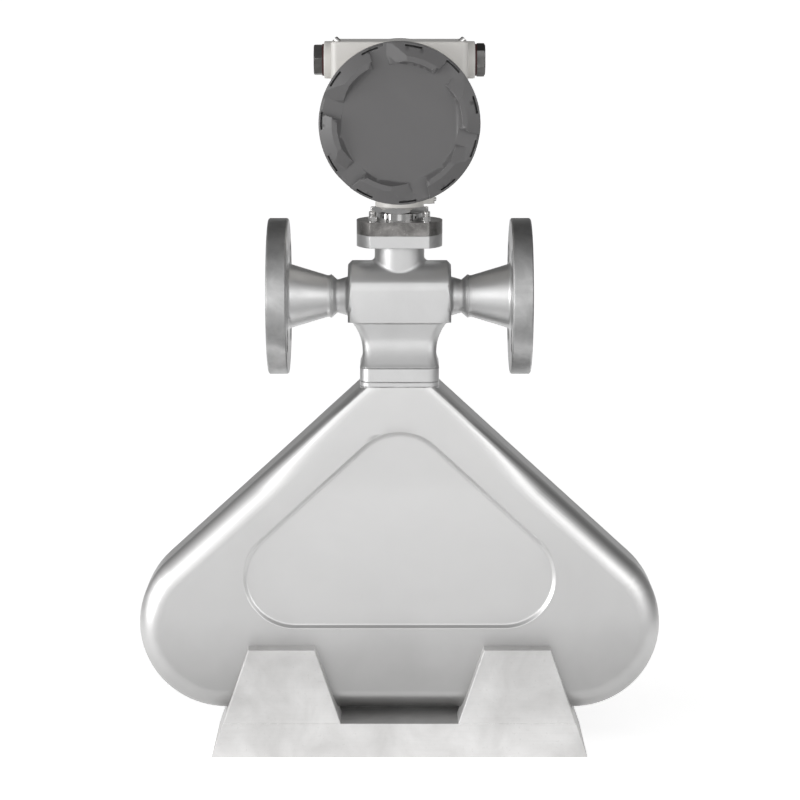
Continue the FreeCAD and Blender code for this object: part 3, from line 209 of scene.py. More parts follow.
def new_group(name, inputs, outputs, kind="ShaderNodeTree"):
    """An empty group; inputs and outputs are pairs of socket name and kind, with a value for each input.
    It gives back the tree, what it is given and its result."""
    tree = bpy.data.node_groups.new(name, kind)
    for label, content, value in inputs:
        socket = tree.interface.new_socket(label, in_out="INPUT", socket_type=f"NodeSocket{content}")
        if value is not None:
            socket.default_value = value
    for label, content in outputs:
        tree.interface.new_socket(label, in_out="OUTPUT", socket_type=f"NodeSocket{content}")
    return tree, tree.nodes.new("NodeGroupInput").outputs, tree.nodes.new("NodeGroupOutput").inputs


def use(tree, group, **inputs):
    made = tree.nodes.new("ShaderNodeGroup")
    made.node_tree = group
    for name, value in inputs.items():
        socket = made.inputs[name.replace("_", " ")]
        if isinstance(value, bpy.types.NodeSocket):
            tree.links.new(value, socket)
        else:
            socket.default_value = value
    return made.outputs


def make_fine_grain():
    """Blasted or cast skin: small pits of one size under slow swells."""
    tree, given, result = new_group("fine_grain", [("Place", "Vector", None), ("Size", "Float", 0.0006),
                                                   ("Swell", "Float", 0.3)],
                                    [("Height", "Float"), ("Tone", "Float")])
    scale = math_node(tree, "DIVIDE", 1.0, given["Size"])
    pits = noise(tree, given["Place"], scale, 3.0, Roughness=0.6)
    slow = times(tree, scale, 0.07)
    swell = noise(tree, given["Place"], slow, 2.0)
    raised = times(tree, swell, given["Swell"])
    tree.links.new(plus(tree, pits, raised), result["Height"])
    tree.links.new(remap(tree, pits, 0.3, 0.7), result["Tone"])
    return tree


def make_cloudy_tone():
    """Slow blotches between two tones, as handling and heat leave on bare metal and paint."""
    tree, given, result = new_group("cloudy_tone", [("Place", "Vector", None), ("Size", "Float", 0.05),
                                                    ("Light", "Color", (1, 1, 1, 1)),
                                                    ("Dark", "Color", (0, 0, 0, 1)),
                                                    ("Contrast", "Float", 0.5)],
                                    [("Color", "Color"), ("Mask", "Float")])
    scale = math_node(tree, "DIVIDE", 1.0, given["Size"])
    cloud = noise(tree, given["Place"], scale, 5.0, Roughness=0.55, Distortion=0.4)
    spread = times(tree, minus(tree, cloud, 0.5), given["Contrast"])
    mask = plus(tree, spread, 0.5, clamp=True)
    tree.links.new(mix_colour(tree, mask, given["Dark"], given["Light"]), result["Color"])
    tree.links.new(mask, result["Mask"])
    return tree


def make_worn_edges():
    """Edges rounded in the light, with a broken mask along them where the finish has rubbed."""
    tree, given, result = new_group("worn_edges", [("Place", "Vector", None), ("Radius", "Float", 0.0006)],
                                    [("Normal", "Vector"), ("Mask", "Float")])
    bevel = node(tree, "ShaderNodeBevel", {"Radius": given["Radius"]}, samples=4).outputs["Normal"]
    flat = node(tree, "ShaderNodeNewGeometry").outputs["Normal"]
    facing = node(tree, "ShaderNodeVectorMath", {0: bevel, 1: flat},
                  operation="DOT_PRODUCT").outputs["Value"]
    edge = remap(tree, facing, 0.99, 0.80)
    chips = noise(tree, given["Place"], 220.0, 4.0)
    broken = remap(tree, chips, 0.42, 0.62)
    tree.links.new(bevel, result["Normal"])
    tree.links.new(times(tree, edge, broken, clamp=True), result["Mask"])
    return tree


def make_drawn_streaks():
    """Lines left by grinding or rolling along one way of the piece."""
    tree, given, result = new_group("drawn_streaks", [("Place", "Vector", None), ("Width", "Float", 0.0006),
                                                      ("Along", "Vector", (0.02, 1, 1))],
                                    [("Height", "Float"), ("Tone", "Float")])
    drawn = node(tree, "ShaderNodeVectorMath", {0: given["Place"], 1: given["Along"]},
                 operation="MULTIPLY").outputs["Vector"]
    scale = math_node(tree, "DIVIDE", 1.0, given["Width"])
    lines = noise(tree, drawn, scale, 4.0, Roughness=0.65)
    tree.links.new(lines, result["Height"])
    tree.links.new(remap(tree, lines, 0.35, 0.65), result["Tone"])
    return tree


def make_weld_line():
    """A rough seam round a piece at one height."""
    tree, given, result = new_group("weld_line", [("Place", "Vector", None), ("Level", "Float", 0.3),
                                                  ("Width", "Float", 0.001)],
                                    [("Height", "Float"), ("Mask", "Float")])
    height = split(tree, given["Place"])[2]
    wander = noise(tree, given["Place"], 160.0, 3.0)
    shifted = plus(tree, height, times(tree, minus(tree, wander, 0.5), given["Width"]))
    away = math_node(tree, "ABSOLUTE", minus(tree, shifted, given["Level"]))
    share = math_node(tree, "DIVIDE", away, given["Width"])
    mask = remap(tree, share, 1.0, 0.2)
    ripple = times(tree, mask, wander)
    tree.links.new(ripple, result["Height"])
    tree.links.new(mask, result["Mask"])
    return tree


def distance_from_axis(tree, across, up):
    spoke = node(tree, "ShaderNodeCombineXYZ", {"X": across, "Y": up}).outputs["Vector"]
    return node(tree, "ShaderNodeVectorMath", {0: spoke}, operation="LENGTH").outputs["Value"]


def make_low_shade():
    """Painted shade that darkens downwards between two heights and breaks up at its upper edge."""
    tree, given, result = new_group("low_grime", [("Place", "Vector", None), ("Top", "Float", 0.1),
                                                  ("Foot", "Float", 0.04), ("Weight", "Float", 0.5)],
                                    [("Mask", "Float")])
    height = split(tree, given["Place"])[2]
    wander = noise(tree, given["Place"], 14.0, 4.0)
    band = minus(tree, given["Top"], given["Foot"])
    drift = times(tree, minus(tree, wander, 0.5), times(tree, band, 0.5))
    level = plus(tree, height, drift)
    painted_shade = smooth_step(tree, level, given["Top"], given["Foot"])
    tree.links.new(times(tree, painted_shade, given["Weight"]), result["Mask"])
    return tree


def make_cut_thread():
    """Screw ridges about a level axis, inside one radius and up to a distance from the meter's middle."""
    tree, given, result = new_group("cut_thread", [("Along", "Float", 0.0), ("Across", "Float", 0.0),
                                                   ("Up", "Float", 0.0), ("Pitch", "Float", 0.002),
                                                   ("Radius", "Float", 0.05), ("Reach", "Float", 0.05)],
                                    [("Height", "Float"), ("Mask", "Float")])
    turn = math_node(tree, "DIVIDE", math_node(tree, "ARCTAN2", given["Up"], given["Across"]), math.tau)
    lead = plus(tree, math_node(tree, "DIVIDE", given["Along"], given["Pitch"]), turn)
    ridge = math_node(tree, "PINGPONG", lead, 0.5)
    radius = distance_from_axis(tree, given["Across"], given["Up"])
    within = math_node(tree, "LESS_THAN", radius, given["Radius"])
    short = math_node(tree, "LESS_THAN", math_node(tree, "ABSOLUTE", given["Along"]), given["Reach"])
    mask = times(tree, within, short)
    tree.links.new(times(tree, ridge, mask), result["Height"])
    tree.links.new(mask, result["Mask"])
    return tree


def make_turned_rings():
    """Fine rings that a lathe tool leaves on a face, about an axis along the flow line."""
    tree, given, result = new_group("turned_rings", [("Across", "Float", 0.0), ("Up", "Float", 0.0),
                                                     ("Pitch", "Float", 0.0008)], [("Height", "Float")])
    radius = distance_from_axis(tree, given["Across"], given["Up"])
    tree.links.new(math_node(tree, "PINGPONG", math_node(tree, "DIVIDE", radius, given["Pitch"]), 0.5),
                   result["Height"])
    return tree


FINE_GRAIN = make_fine_grain()
CLOUDY_TONE = make_cloudy_tone()
WORN_EDGES = make_worn_edges()
DRAWN_STREAKS = make_drawn_streaks()
WELD_LINE = make_weld_line()
CUT_THREAD = make_cut_thread()
TURNED_RINGS = make_turned_rings()
LOW_SHADE = make_low_shade()


# materials

def new_material(name, **constants):
    """A material with its shader, the shader's constants set on its own sockets."""
    material = bpy.data.materials.new(name)
    material.use_nodes = True
    tree = material.node_tree
    shader = tree.nodes["Principled BSDF"]
    for label, value in constants.items():
        shader.inputs[label.replace("_", " ")].default_value = value
    place = node(tree, "ShaderNodeTexCoord").outputs["Object"]
    return material, tree, shader.inputs, place


def bumped(tree, height, depth, normal):
    return node(tree, "ShaderNodeBump", {"Height": height, "Distance": depth, "Normal": normal,
                                         "Strength": 1.0}).outputs["Normal"]


def emboss(tree, shader, height, depth):
    """Add relief to the normal of a finished material."""
    before = shader["Normal"].links[0].from_socket
    tree.links.new(bumped(tree, height, depth, before), shader["Normal"])


def tint(tree, shader, mask, colour):
    """Lay a colour over a finished material where it is masked."""
    tone = shader["Base Color"].links[0].from_socket
    tree.links.new(mix_colour(tree, mask, tone, colour), shader["Base Color"])


def metal(name, light, dark, rough, patch=0.06, contrast=1.2, grain_size=0.0007, grain_depth=0.00002,
          edge_radius=0.0005, rubbed=None, metallic=1.0):
    """Bare metal: two tones in slow patches, a blasted grain, and edges rubbed brighter."""
    material, tree, shader, place = new_material(name, Metallic=metallic)
    tone = use(tree, CLOUDY_TONE, Place=place, Size=patch, Light=light, Dark=dark, Contrast=contrast)
    grain = use(tree, FINE_GRAIN, Place=place, Size=grain_size)
    edge = use(tree, WORN_EDGES, Place=place, Radius=edge_radius)
    colour = tone["Color"] if rubbed is None else mix_colour(tree, edge["Mask"], tone["Color"], rubbed)
    tree.links.new(colour, shader["Base Color"])
    mottled = plus(tree, times(tree, grain["Tone"], 0.4), times(tree, tone["Mask"], 0.6))
    tree.links.new(remap(tree, mottled, 0.0, 1.0, rough[1], rough[0]), shader["Roughness"])
    tree.links.new(bumped(tree, grain["Height"], grain_depth, edge["Normal"]), shader["Normal"])
    return material, tree, shader, place


def grey(value, warmth=0.0):
    return (value * (1 + warmth), value, value * (1 - warmth), 1.0)


def case_steel():
    """Pressed stainless sheet with a satin, bead-blasted skin, with shade painted darker towards its foot."""
    material, tree, shader, place = metal("case_steel", grey(0.70, 0.004), grey(0.61, 0.004), (0.34, 0.44),
                                          patch=0.09, contrast=1.0, grain_size=0.0006, grain_depth=0.000008,
                                          edge_radius=0.0004)
    # painted shade: the case's colour darkens towards its foot
    painted_shade = use(tree, LOW_SHADE, Place=place, Top=CASE_FOOT + SHADE_RISE, Foot=CASE_FOOT, Weight=0.66)
    tint(tree, shader, painted_shade["Mask"], grey(0.22, 0.01))
    return material


def collar_steel():
    """The collar's skin, with two rough weld lines at its foot."""
    material, tree, shader, place = metal("collar_steel", grey(0.66), grey(0.56), (0.32, 0.45), patch=0.03,
                                          grain_size=0.0007, grain_depth=0.000015)
    upper, lower = (use(tree, WELD_LINE, Place=place, Level=level, Width=width)
                    for level, width in COLLAR_WELDS)
    emboss(tree, shader, plus(tree, upper["Height"], lower["Height"]), 0.0009)
    seam = times(tree, plus(tree, upper["Mask"], lower["Mask"], clamp=True), 0.35)
    tint(tree, shader, seam, grey(0.30, 0.02))
    return material


def cast_steel():
    """The manifold casting and the lower plate: an even blasted skin."""
    return metal("cast_steel", grey(0.66), grey(0.54), (0.36, 0.50), patch=0.045, grain_size=0.0009,
                 grain_depth=0.00003, edge_radius=0.0012, rubbed=grey(0.74))[0]


def flange_steel():
    """Forged flanges, blasted to a coarser and darker grain, with lighter hubs and turned faces."""
    material, tree, shader, place = metal("flange_steel", grey(0.54), grey(0.30), (0.32, 0.52), patch=0.022,
                                          contrast=2.2, grain_size=0.0011, grain_depth=0.00004,
                                          edge_radius=0.0006, rubbed=grey(0.72))
    x, y, z = split(tree, place)
    up = minus(tree, z, AXIS_HEIGHT)
    hub = remap(tree, distance_from_axis(tree, y, up), *HUB_RADII, 0.0, 0.8)
    tint(tree, shader, hub, grey(0.68))
    rings = use(tree, TURNED_RINGS, Across=y, Up=up, Pitch=FACE_RING_PITCH)
    face = math_node(tree, "GREATER_THAN", math_node(tree, "ABSOLUTE", x), FACE_X - 0.2 * MM)
    emboss(tree, shader, times(tree, rings["Height"], face), 0.0004)
    return material


def head_plate_steel():
    """The darker upper plate, turned and mottled, with bright specks where it has been handled."""
    material, tree, shader, place = metal("head_plate_steel", grey(0.30, 0.03), grey(0.12, 0.03),
                                          (0.26, 0.50), patch=0.010, contrast=2.4, grain_size=0.0008,
                                          grain_depth=0.00003, edge_radius=0.0007, rubbed=grey(0.60))
    specks = noise(tree, place, 900.0, 5.0, Roughness=0.8)
    tint(tree, shader, remap(tree, specks, 0.60, 0.74), grey(0.62, 0.02))
    return material


def cradle_steel():
    """Sanded plate with lines along it, water marks and a few scratches."""
    material, tree, shader, place = metal("cradle_steel", grey(0.66, 0.006), grey(0.44, 0.010), (0.44, 0.62),
                                          patch=0.04, contrast=1.9, grain_size=0.0012, grain_depth=0.00002,
                                          edge_radius=0.0006, rubbed=grey(0.84), metallic=0.5)
    streaks = use(tree, DRAWN_STREAKS, Place=place, Width=0.0016, Along=(0.03, 1.0, 1.0))
    emboss(tree, shader, streaks["Height"], 0.00003)
    specks = noise(tree, place, 420.0, 3.0)
    marks = math_node(tree, "MAXIMUM", streaks["Tone"], remap(tree, specks, 0.62, 0.70, 0.0, 3.0))
    tint(tree, shader, times(tree, marks, 0.10), grey(0.40, 0.02))
    return material


def polished_steel():
    return metal("polished_steel", grey(0.62, 0.006), grey(0.52, 0.006), (0.06, 0.14), patch=0.012,
                 grain_size=0.0012, grain_depth=0.000003, edge_radius=0.0003)[0]


def fastener_steel():
    return metal("fastener_steel", grey(0.72, 0.01), grey(0.60, 0.01), (0.10, 0.20), patch=0.005,
                 grain_size=0.0008, grain_depth=0.000004, edge_radius=0.0002)[0]


def plug_metal():
    """Dull plated hexagon plugs, threaded below the head."""
    material, tree, shader, place = metal("plug_metal", grey(0.18, 0.02), grey(0.09, 0.02), (0.30, 0.44),
                                          patch=0.008, contrast=1.6, grain_size=0.0007, grain_depth=0.000012,
                                          edge_radius=0.0005, rubbed=grey(0.55))
    x, y, z = split(tree, place)
    thread = use(tree, CUT_THREAD, Along=x, Across=y, Up=minus(tree, z, CONDUIT_HEIGHT),
                 Pitch=PLUG_THREAD_PITCH, Radius=PLUG_THREAD_RADIUS, Reach=PLUG_THREAD_REACH)
    emboss(tree, shader, thread["Height"], 0.0007)
    return material


def tube_steel():
    return metal("tube_steel", grey(0.72), grey(0.64), (0.14, 0.26), patch=0.02, grain_size=0.0009,
                 grain_depth=0.000004, edge_radius=0.0003)[0]


def magnet_steel():
    return metal("magnet_steel", grey(0.34), grey(0.24), (0.25, 0.40), patch=0.006, grain_size=0.0006,
                 grain_depth=0.00001, edge_radius=0.0003, rubbed=grey(0.6))[0]


def terminal_metal():
    return metal("terminal_metal", (0.72, 0.58, 0.30, 1.0), (0.58, 0.44, 0.20, 1.0), (0.15, 0.30),
                 patch=0.004, grain_size=0.0006, grain_depth=0.000006, edge_radius=0.0003)[0]


def paint(name, light, dark, rough, peel_size, peel_depth, rubbed, edge_radius=0.0012, coat=0.15):
    """Baked paint on a casting: orange peel, slow blotches, and a thin line of wear on its edges, which on
    the covers is also a painted highlight.
    """
    material, tree, shader, place = new_material(name, Coat_Weight=coat, Coat_Roughness=0.35)
    tone = use(tree, CLOUDY_TONE, Place=place, Size=0.05, Light=light, Dark=dark, Contrast=1.2)
    peel = use(tree, FINE_GRAIN, Place=place, Size=peel_size, Swell=0.6)
    edge = use(tree, WORN_EDGES, Place=place, Radius=edge_radius)
    worn = times(tree, edge["Mask"], 0.35)
    tree.links.new(mix_colour(tree, worn, tone["Color"], rubbed), shader["Base Color"])
    tree.links.new(remap(tree, peel["Tone"], 0.0, 1.0, rough[0], rough[1]), shader["Roughness"])
    tree.links.new(bumped(tree, peel["Height"], peel_depth, edge["Normal"]), shader["Normal"])
    return material, tree, shader, place


def housing_paint():
    return paint("housing_paint", (0.66, 0.645, 0.62, 1), (0.60, 0.585, 0.56, 1), (0.34, 0.46), 0.0016,
                 0.00003, (0.78, 0.77, 0.75, 1))[0]


def cover_paint():
    """Dark paint on the covers, with bare metal on the thread that goes into the housing, and edges painted
    light: partly wear, partly a painted highlight on the lug crests.
    """
    # the light edge colour (0.50) is partly wear and partly a painted highlight along the lug crests
    material, tree, shader, place = paint("cover_paint", (0.108, 0.106, 0.107, 1), (0.092, 0.090, 0.091, 1),
                                          (0.36, 0.48), 0.0013, 0.00003, (0.50, 0.50, 0.50, 1),
                                          edge_radius=0.0009)
    x, y, z = split(tree, place)
    thread = use(tree, CUT_THREAD, Along=y, Across=x, Up=minus(tree, z, HEAD_HEIGHT),
                 Pitch=COVER_THREAD_PITCH, Radius=COVER_THREAD_RADIUS, Reach=COVER_THREAD_REACH)
    emboss(tree, shader, thread["Height"], 0.0009)
    tint(tree, shader, thread["Mask"], grey(0.50))
    tree.links.new(thread["Mask"], shader["Metallic"])
    return material


def seal_rubber():
    material, tree, shader, place = new_material("seal_rubber")
    tone = use(tree, CLOUDY_TONE, Place=place, Size=0.01, Light=(0.07, 0.012, 0.012, 1),
               Dark=(0.03, 0.006, 0.006, 1))
    grain = use(tree, FINE_GRAIN, Place=place, Size=0.0004)
    tree.links.new(tone["Color"], shader["Base Color"])
    tree.links.new(remap(tree, grain["Tone"], 0.0, 1.0, 0.55, 0.75), shader["Roughness"])
    smooth = node(tree, "ShaderNodeNewGeometry").outputs["Normal"]
    tree.links.new(bumped(tree, grain["Height"], 0.00001, smooth), shader["Normal"])
    return material


def copper_winding():
    """Varnished wire laid in close turns across the coil."""
    material, tree, shader, place = new_material("copper_winding", Metallic=1.0, Coat_Weight=0.5)
    turns = node(tree, "ShaderNodeTexWave", {"Vector": place, "Scale": 450.0, "Distortion": 0.4,
                                             "Detail": 1.0}, bands_direction="Y").outputs["Fac"]
    tone = mix_colour(tree, turns, (0.30, 0.11, 0.05, 1), (0.72, 0.34, 0.17, 1))
    tree.links.new(tone, shader["Base Color"])
    tree.links.new(remap(tree, turns, 0.0, 1.0, 0.45, 0.22), shader["Roughness"])
    smooth = node(tree, "ShaderNodeNewGeometry").outputs["Normal"]
    tree.links.new(bumped(tree, turns, 0.00015, smooth), shader["Normal"])
    return material


def circuit_board():
    """Green lacquer over faint tracks."""
    material, tree, shader, place = new_material("circuit_board", Coat_Weight=0.6, Coat_Roughness=0.12)
    tracks = node(tree, "ShaderNodeTexBrick", {"Vector": place, "Scale": 160.0, "Mortar Size": 0.12,
                                               "Color1": (0.01, 0.11, 0.05, 1),
                                               "Color2": (0.012, 0.14, 0.06, 1),
                                               "Mortar": (0.02, 0.22, 0.10, 1)}).outputs["Color"]
    dust = use(tree, CLOUDY_TONE, Place=place, Size=0.02, Light=(1, 1, 1, 1), Dark=(0.8, 0.8, 0.8, 1))
    tone = mix_colour(tree, 1.0, tracks, dust["Color"], blend="MULTIPLY")
    tree.links.new(tone, shader["Base Color"])
    tree.links.new(remap(tree, dust["Mask"], 0.0, 1.0, 0.45, 0.3), shader["Roughness"])
    return material


def terminal_plastic():
    return paint("terminal_plastic", (0.05, 0.17, 0.10, 1), (0.04, 0.14, 0.08, 1), (0.42, 0.55), 0.0009,
                 0.00002, (0.10, 0.25, 0.16, 1), edge_radius=0.0005, coat=0.0)[0]


FINISHES = {
    "case_steel": case_steel(), "collar_steel": collar_steel(), "cast_steel": cast_steel(),
    "flange_steel": flange_steel(), "head_plate_steel": head_plate_steel(), "cradle_steel": cradle_steel(),
    "polished_steel": polished_steel(), "fastener_steel": fastener_steel(), "plug_metal": plug_metal(),
    "tube_steel": tube_steel(), "magnet_steel": magnet_steel(), "terminal_metal": terminal_metal(),
    "housing_paint": housing_paint(), "cover_paint": cover_paint(), "seal_rubber": seal_rubber(),
    "copper_winding": copper_winding(), "circuit_board": circuit_board(),
    "terminal_plastic": terminal_plastic(),
}

NODE_FINISHES = {
    "case_steel": ("case_front_shell", "case_rear_shell", "case_side_band"),
    "collar_steel": ("case_collar",),
    "cast_steel": ("manifold_block", "neck_plate"),
    "flange_steel": ("inlet_flange", "outlet_flange"),
    "head_plate_steel": ("head_plate",),
    "cradle_steel": ("cradle_base", "cradle_ear_front_left", "cradle_ear_front_right", "cradle_ear_rear_left",
                     "cradle_ear_rear_right"),
    "polished_steel": ("coupling_nipple", "lock_nut"),
    "fastener_steel": ("plate_studs", "plate_nuts", "plate_washers", "top_screws", "lock_screw"),
    "plug_metal": ("left_conduit_plug", "right_conduit_plug"),
    "tube_steel": ("flow_tube_front", "flow_tube_rear", "left_braces", "right_braces", "temperature_sensor"),
    "magnet_steel": ("drive_magnet", "left_pickoff_magnet", "right_pickoff_magnet"),
    "terminal_metal": ("feedthrough", "board_posts", "terminal_screws"),
    "housing_paint": ("transmitter_housing",),
    "cover_paint": ("front_cover", "rear_cover"),
    "seal_rubber": ("plate_seal", "front_cover_seal", "rear_cover_seal", "left_plug_seal", "right_plug_seal"),
    "copper_winding": ("drive_coil", "left_pickoff_coil", "right_pickoff_coil"),
    "circuit_board": ("main_board", "power_board"),
    "terminal_plastic": ("terminal_block",),
}


def finish_nodes():
    for finish, names in NODE_FINISHES.items():
        for name in names:
            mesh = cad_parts[name].data
            mesh.materials.clear()
            mesh.materials.append(FINISHES[finish])


# mesh pieces, each drawn about +Z on the origin and then moved into place in its mesh

def join_rings(bm, rings, ends=None):
    """Faces between neighbouring rings of points. Ends of None joins the last ring to the first; CAP closes
    each open end with one face."""
    made = [[bm.verts.new(point) for point in ring] for ring in rings]
    count = len(made[0])
    pairs = list(zip(made, made[1:])) + ([(made[-1], made[0])] if ends is None else [])
    for lower, upper in pairs:
        for index in range(count):
            after = (index + 1) % count
            bm.faces.new((lower[index], lower[after], upper[after], upper[index]))
    if ends == CAP:
        bm.faces.new(made[0])
        bm.faces.new(made[-1])


def round_ring(radius, height, segments):
    """Points round +Z; radius and height are numbers or rules that take the angle."""
    points = []
    for index in range(segments):
        angle = math.tau * index / segments
        reach = radius(angle) if callable(radius) else radius
        level = height(angle) if callable(height) else height
        points.append((reach * math.cos(angle), reach * math.sin(angle), level))
    return points


def draw_nut(bm):
    """A hexagon nut, its corners bevelled at both ends and its bore countersunk."""
    flat, bore = NUT_FLATS / 2, STUD_RADIUS + 0.02 * MM
    start = flat * 0.96

    def reach(angle):
        return flat / math.cos((angle + math.radians(30)) % math.radians(60) - math.radians(30))

    def drop(angle):
        return (reach(angle) - start) * math.tan(math.radians(30))

    def far(angle):
        return NUT_HEIGHT - drop(angle)

    profile = [(bore, NUT_SINK), (bore + NUT_SINK, 0.0), (start, 0.0), (reach, drop), (reach, far),
               (start, NUT_HEIGHT), (bore + NUT_SINK, NUT_HEIGHT), (bore, NUT_HEIGHT - NUT_SINK)]
    join_rings(bm, [round_ring(radius, height, 48) for radius, height in profile])


def draw_washer(bm):
    edge, bore = WASHER_EDGE, STUD_RADIUS + 0.1 * MM
    profile = [(bore, 0.0), (WASHER_RADIUS - edge, 0.0), (WASHER_RADIUS, edge),
               (WASHER_RADIUS, WASHER_THICKNESS - edge), (WASHER_RADIUS - edge, WASHER_THICKNESS),
               (bore, WASHER_THICKNESS)]
    join_rings(bm, [round_ring(radius, height, 32) for radius, height in profile])


def draw_stud(bm):
    """A stud from its foot in the lower plate to its rounded tip, with a cut thread where it stands proud."""
    foot, top = STUD_SPAN
    length, start = top - foot, HEAD_TOP - foot
    end = length - STUD_TIP

    def ridge(height):
        def radius(angle):
            turn = (height / THREAD_PITCH - angle / math.tau) % 1.0
            fade = min(1.0, (height - start) / THREAD_PITCH, (end - height) / THREAD_PITCH)
            return STUD_RADIUS - THREAD_DEPTH * fade * abs(2 * turn - 1)
        return radius

    rings = [round_ring(STUD_RADIUS, height, 32) for height in (0.0, start)]
    steps = int((end - start) / THREAD_PITCH * 8)
    for step in range(1, steps):
        height = start + (end - start) * step / steps
        rings.append(round_ring(ridge(height), height, 32))
    for step in range(5):
        lift = math.radians(85) * step / 4
        reach = STUD_RADIUS * (0.3 + 0.7 * math.cos(lift))
        rings.append(round_ring(reach, end + STUD_TIP * math.sin(lift), 32))
    join_rings(bm, rings, CAP)


def draw_screw_head(bm):
    """A cheese head whose upper edge is rounded, its foot sunk in the casting."""
    edge, sunk = 0.6 * MM, 1.0 * MM
    rings = [round_ring(TOP_SCREW_RADIUS, height, 40) for height in (-sunk, TOP_SCREW_HEIGHT - edge)]
    for step in range(1, 6):
        lift = math.radians(90) * step / 5
        rings.append(round_ring(TOP_SCREW_RADIUS - edge * (1 - math.cos(lift)),
                                TOP_SCREW_HEIGHT - edge + edge * math.sin(lift), 40))
    join_rings(bm, rings, CAP)


def draw_slot(bm):
    half, long, low = SLOT_WIDTH / 2, TOP_SCREW_RADIUS * 1.2, TOP_SCREW_HEIGHT - SLOT_DEPTH
    corners = [(-long, -half), (long, -half), (long, half), (-long, half)]
    join_rings(bm, [[(x, y, z) for x, y in corners] for z in (low, TOP_SCREW_HEIGHT + half)], CAP)


def draw_lock_screw(bm):
    length, edge = LOCK_SCREW[1].x - LOCK_SCREW[0].x, 0.25 * MM
    profile = [(LOCK_SCREW_RADIUS - edge, 0.0), (LOCK_SCREW_RADIUS, edge), (LOCK_SCREW_RADIUS, length - edge),
               (LOCK_SCREW_RADIUS - edge, length)]
    join_rings(bm, [round_ring(radius, height, 32) for radius, height in profile], CAP)


def draw_socket(bm):
    length, corner = LOCK_SCREW[1].x - LOCK_SCREW[0].x, SOCKET_FLATS / 2 / math.cos(math.radians(30))
    span = (length - SOCKET_DEPTH, length + corner)
    join_rings(bm, [round_ring(corner, height, 6) for height in span], CAP)


def drawn_mesh(name, draw, finish=None):
    bm = bmesh.new()
    draw(bm)
    bmesh.ops.recalc_face_normals(bm, faces=bm.faces)
    mesh = bpy.data.meshes.new(name)
    bm.to_mesh(mesh)
    bm.free()
    mesh.shade_smooth()
    mesh.set_sharp_from_angle(angle=math.radians(35))
    if finish:
        mesh.materials.append(FINISHES[finish])
    return mesh


def shown(name, mesh):
    piece = bpy.data.objects.new(name, mesh)
    bpy.context.collection.objects.link(piece)
    return piece


def settled(name, piece):
    """The plain mesh that a piece and its modifiers make, in an object of its own."""
    graph = bpy.context.evaluated_depsgraph_get()
    mesh = bpy.data.meshes.new_from_object(piece.evaluated_get(graph), depsgraph=graph)
    piece.modifiers.clear()
    bpy.data.objects.remove(piece)
    return shown(name, mesh)


def recessed(name, draw, draw_recess, finish):
    """A screw with a slot or a socket cut in its head."""
    screw = shown("blank", drawn_mesh("blank", draw, finish))
    tool = shown("recess", drawn_mesh("recess", draw_recess, finish))
    cutting = screw.modifiers.new("recess", "BOOLEAN")
    cutting.object = tool
    cutting.solver = "EXACT"
    made = settled(name, screw)
    bpy.data.objects.remove(tool)
    made.data.set_sharp_from_angle(angle=math.radians(35))
    return made


def joined(name, pieces):
    """One object from several, at the origin with every place in its mesh."""
    bm = bmesh.new()
    for piece in pieces:
        bm.from_mesh(piece.data)
    mesh = bpy.data.meshes.new(name)
    bm.to_mesh(mesh)
    bm.free()
    for material in pieces[0].data.materials:
        mesh.materials.append(material)
    for piece in pieces:
        bpy.data.objects.remove(piece)
    return shown(name, mesh)


def geometry_tree(name, inputs):
    return new_group(name, [("Geometry", "Geometry", None)] + inputs, [("Geometry", "Geometry")],
                     "GeometryNodeTree")


def end_tree(tree, geometry, finish, result):
    """Every tree ends here: real geometry, with its finish."""
    real = node(tree, "GeometryNodeRealizeInstances", {"Geometry": geometry}).outputs["Geometry"]
    dressed = node(tree, "GeometryNodeSetMaterial", {"Geometry": real, "Material": finish})
    tree.links.new(dressed.outputs["Geometry"], result["Geometry"])


def make_bolt_circle():
    """Copies of the piece spaced evenly on a circle about +Z, the first at First Angle."""
    tree, given, result = geometry_tree("bolt_circle", [("Count", "Int", 4), ("Radius", "Float", 0.03),
                                                        ("First Angle", "Float", 0.0),
                                                        ("Level", "Float", 0.0),
                                                        ("Finish", "Material", None)])
    places = node(tree, "GeometryNodeMeshCircle", {"Vertices": given["Count"], "Radius": given["Radius"]})
    index = node(tree, "GeometryNodeInputIndex").outputs["Index"]
    step = math_node(tree, "DIVIDE", math.tau, given["Count"])
    turn = node(tree, "ShaderNodeCombineXYZ", {"Z": times(tree, index, step)}).outputs["Vector"]
    copies = node(tree, "GeometryNodeInstanceOnPoints", {"Points": places.outputs["Mesh"],
                                                         "Instance": given["Geometry"], "Rotation": turn})
    start = node(tree, "ShaderNodeCombineXYZ", {"Z": given["First Angle"]}).outputs["Vector"]
    lift = node(tree, "ShaderNodeCombineXYZ", {"Z": given["Level"]}).outputs["Vector"]
    moved = node(tree, "GeometryNodeTransform", {"Geometry": copies.outputs["Instances"], "Rotation": start,
                                                 "Translation": lift})
    end_tree(tree, moved.outputs["Geometry"], given["Finish"], result)
    return tree


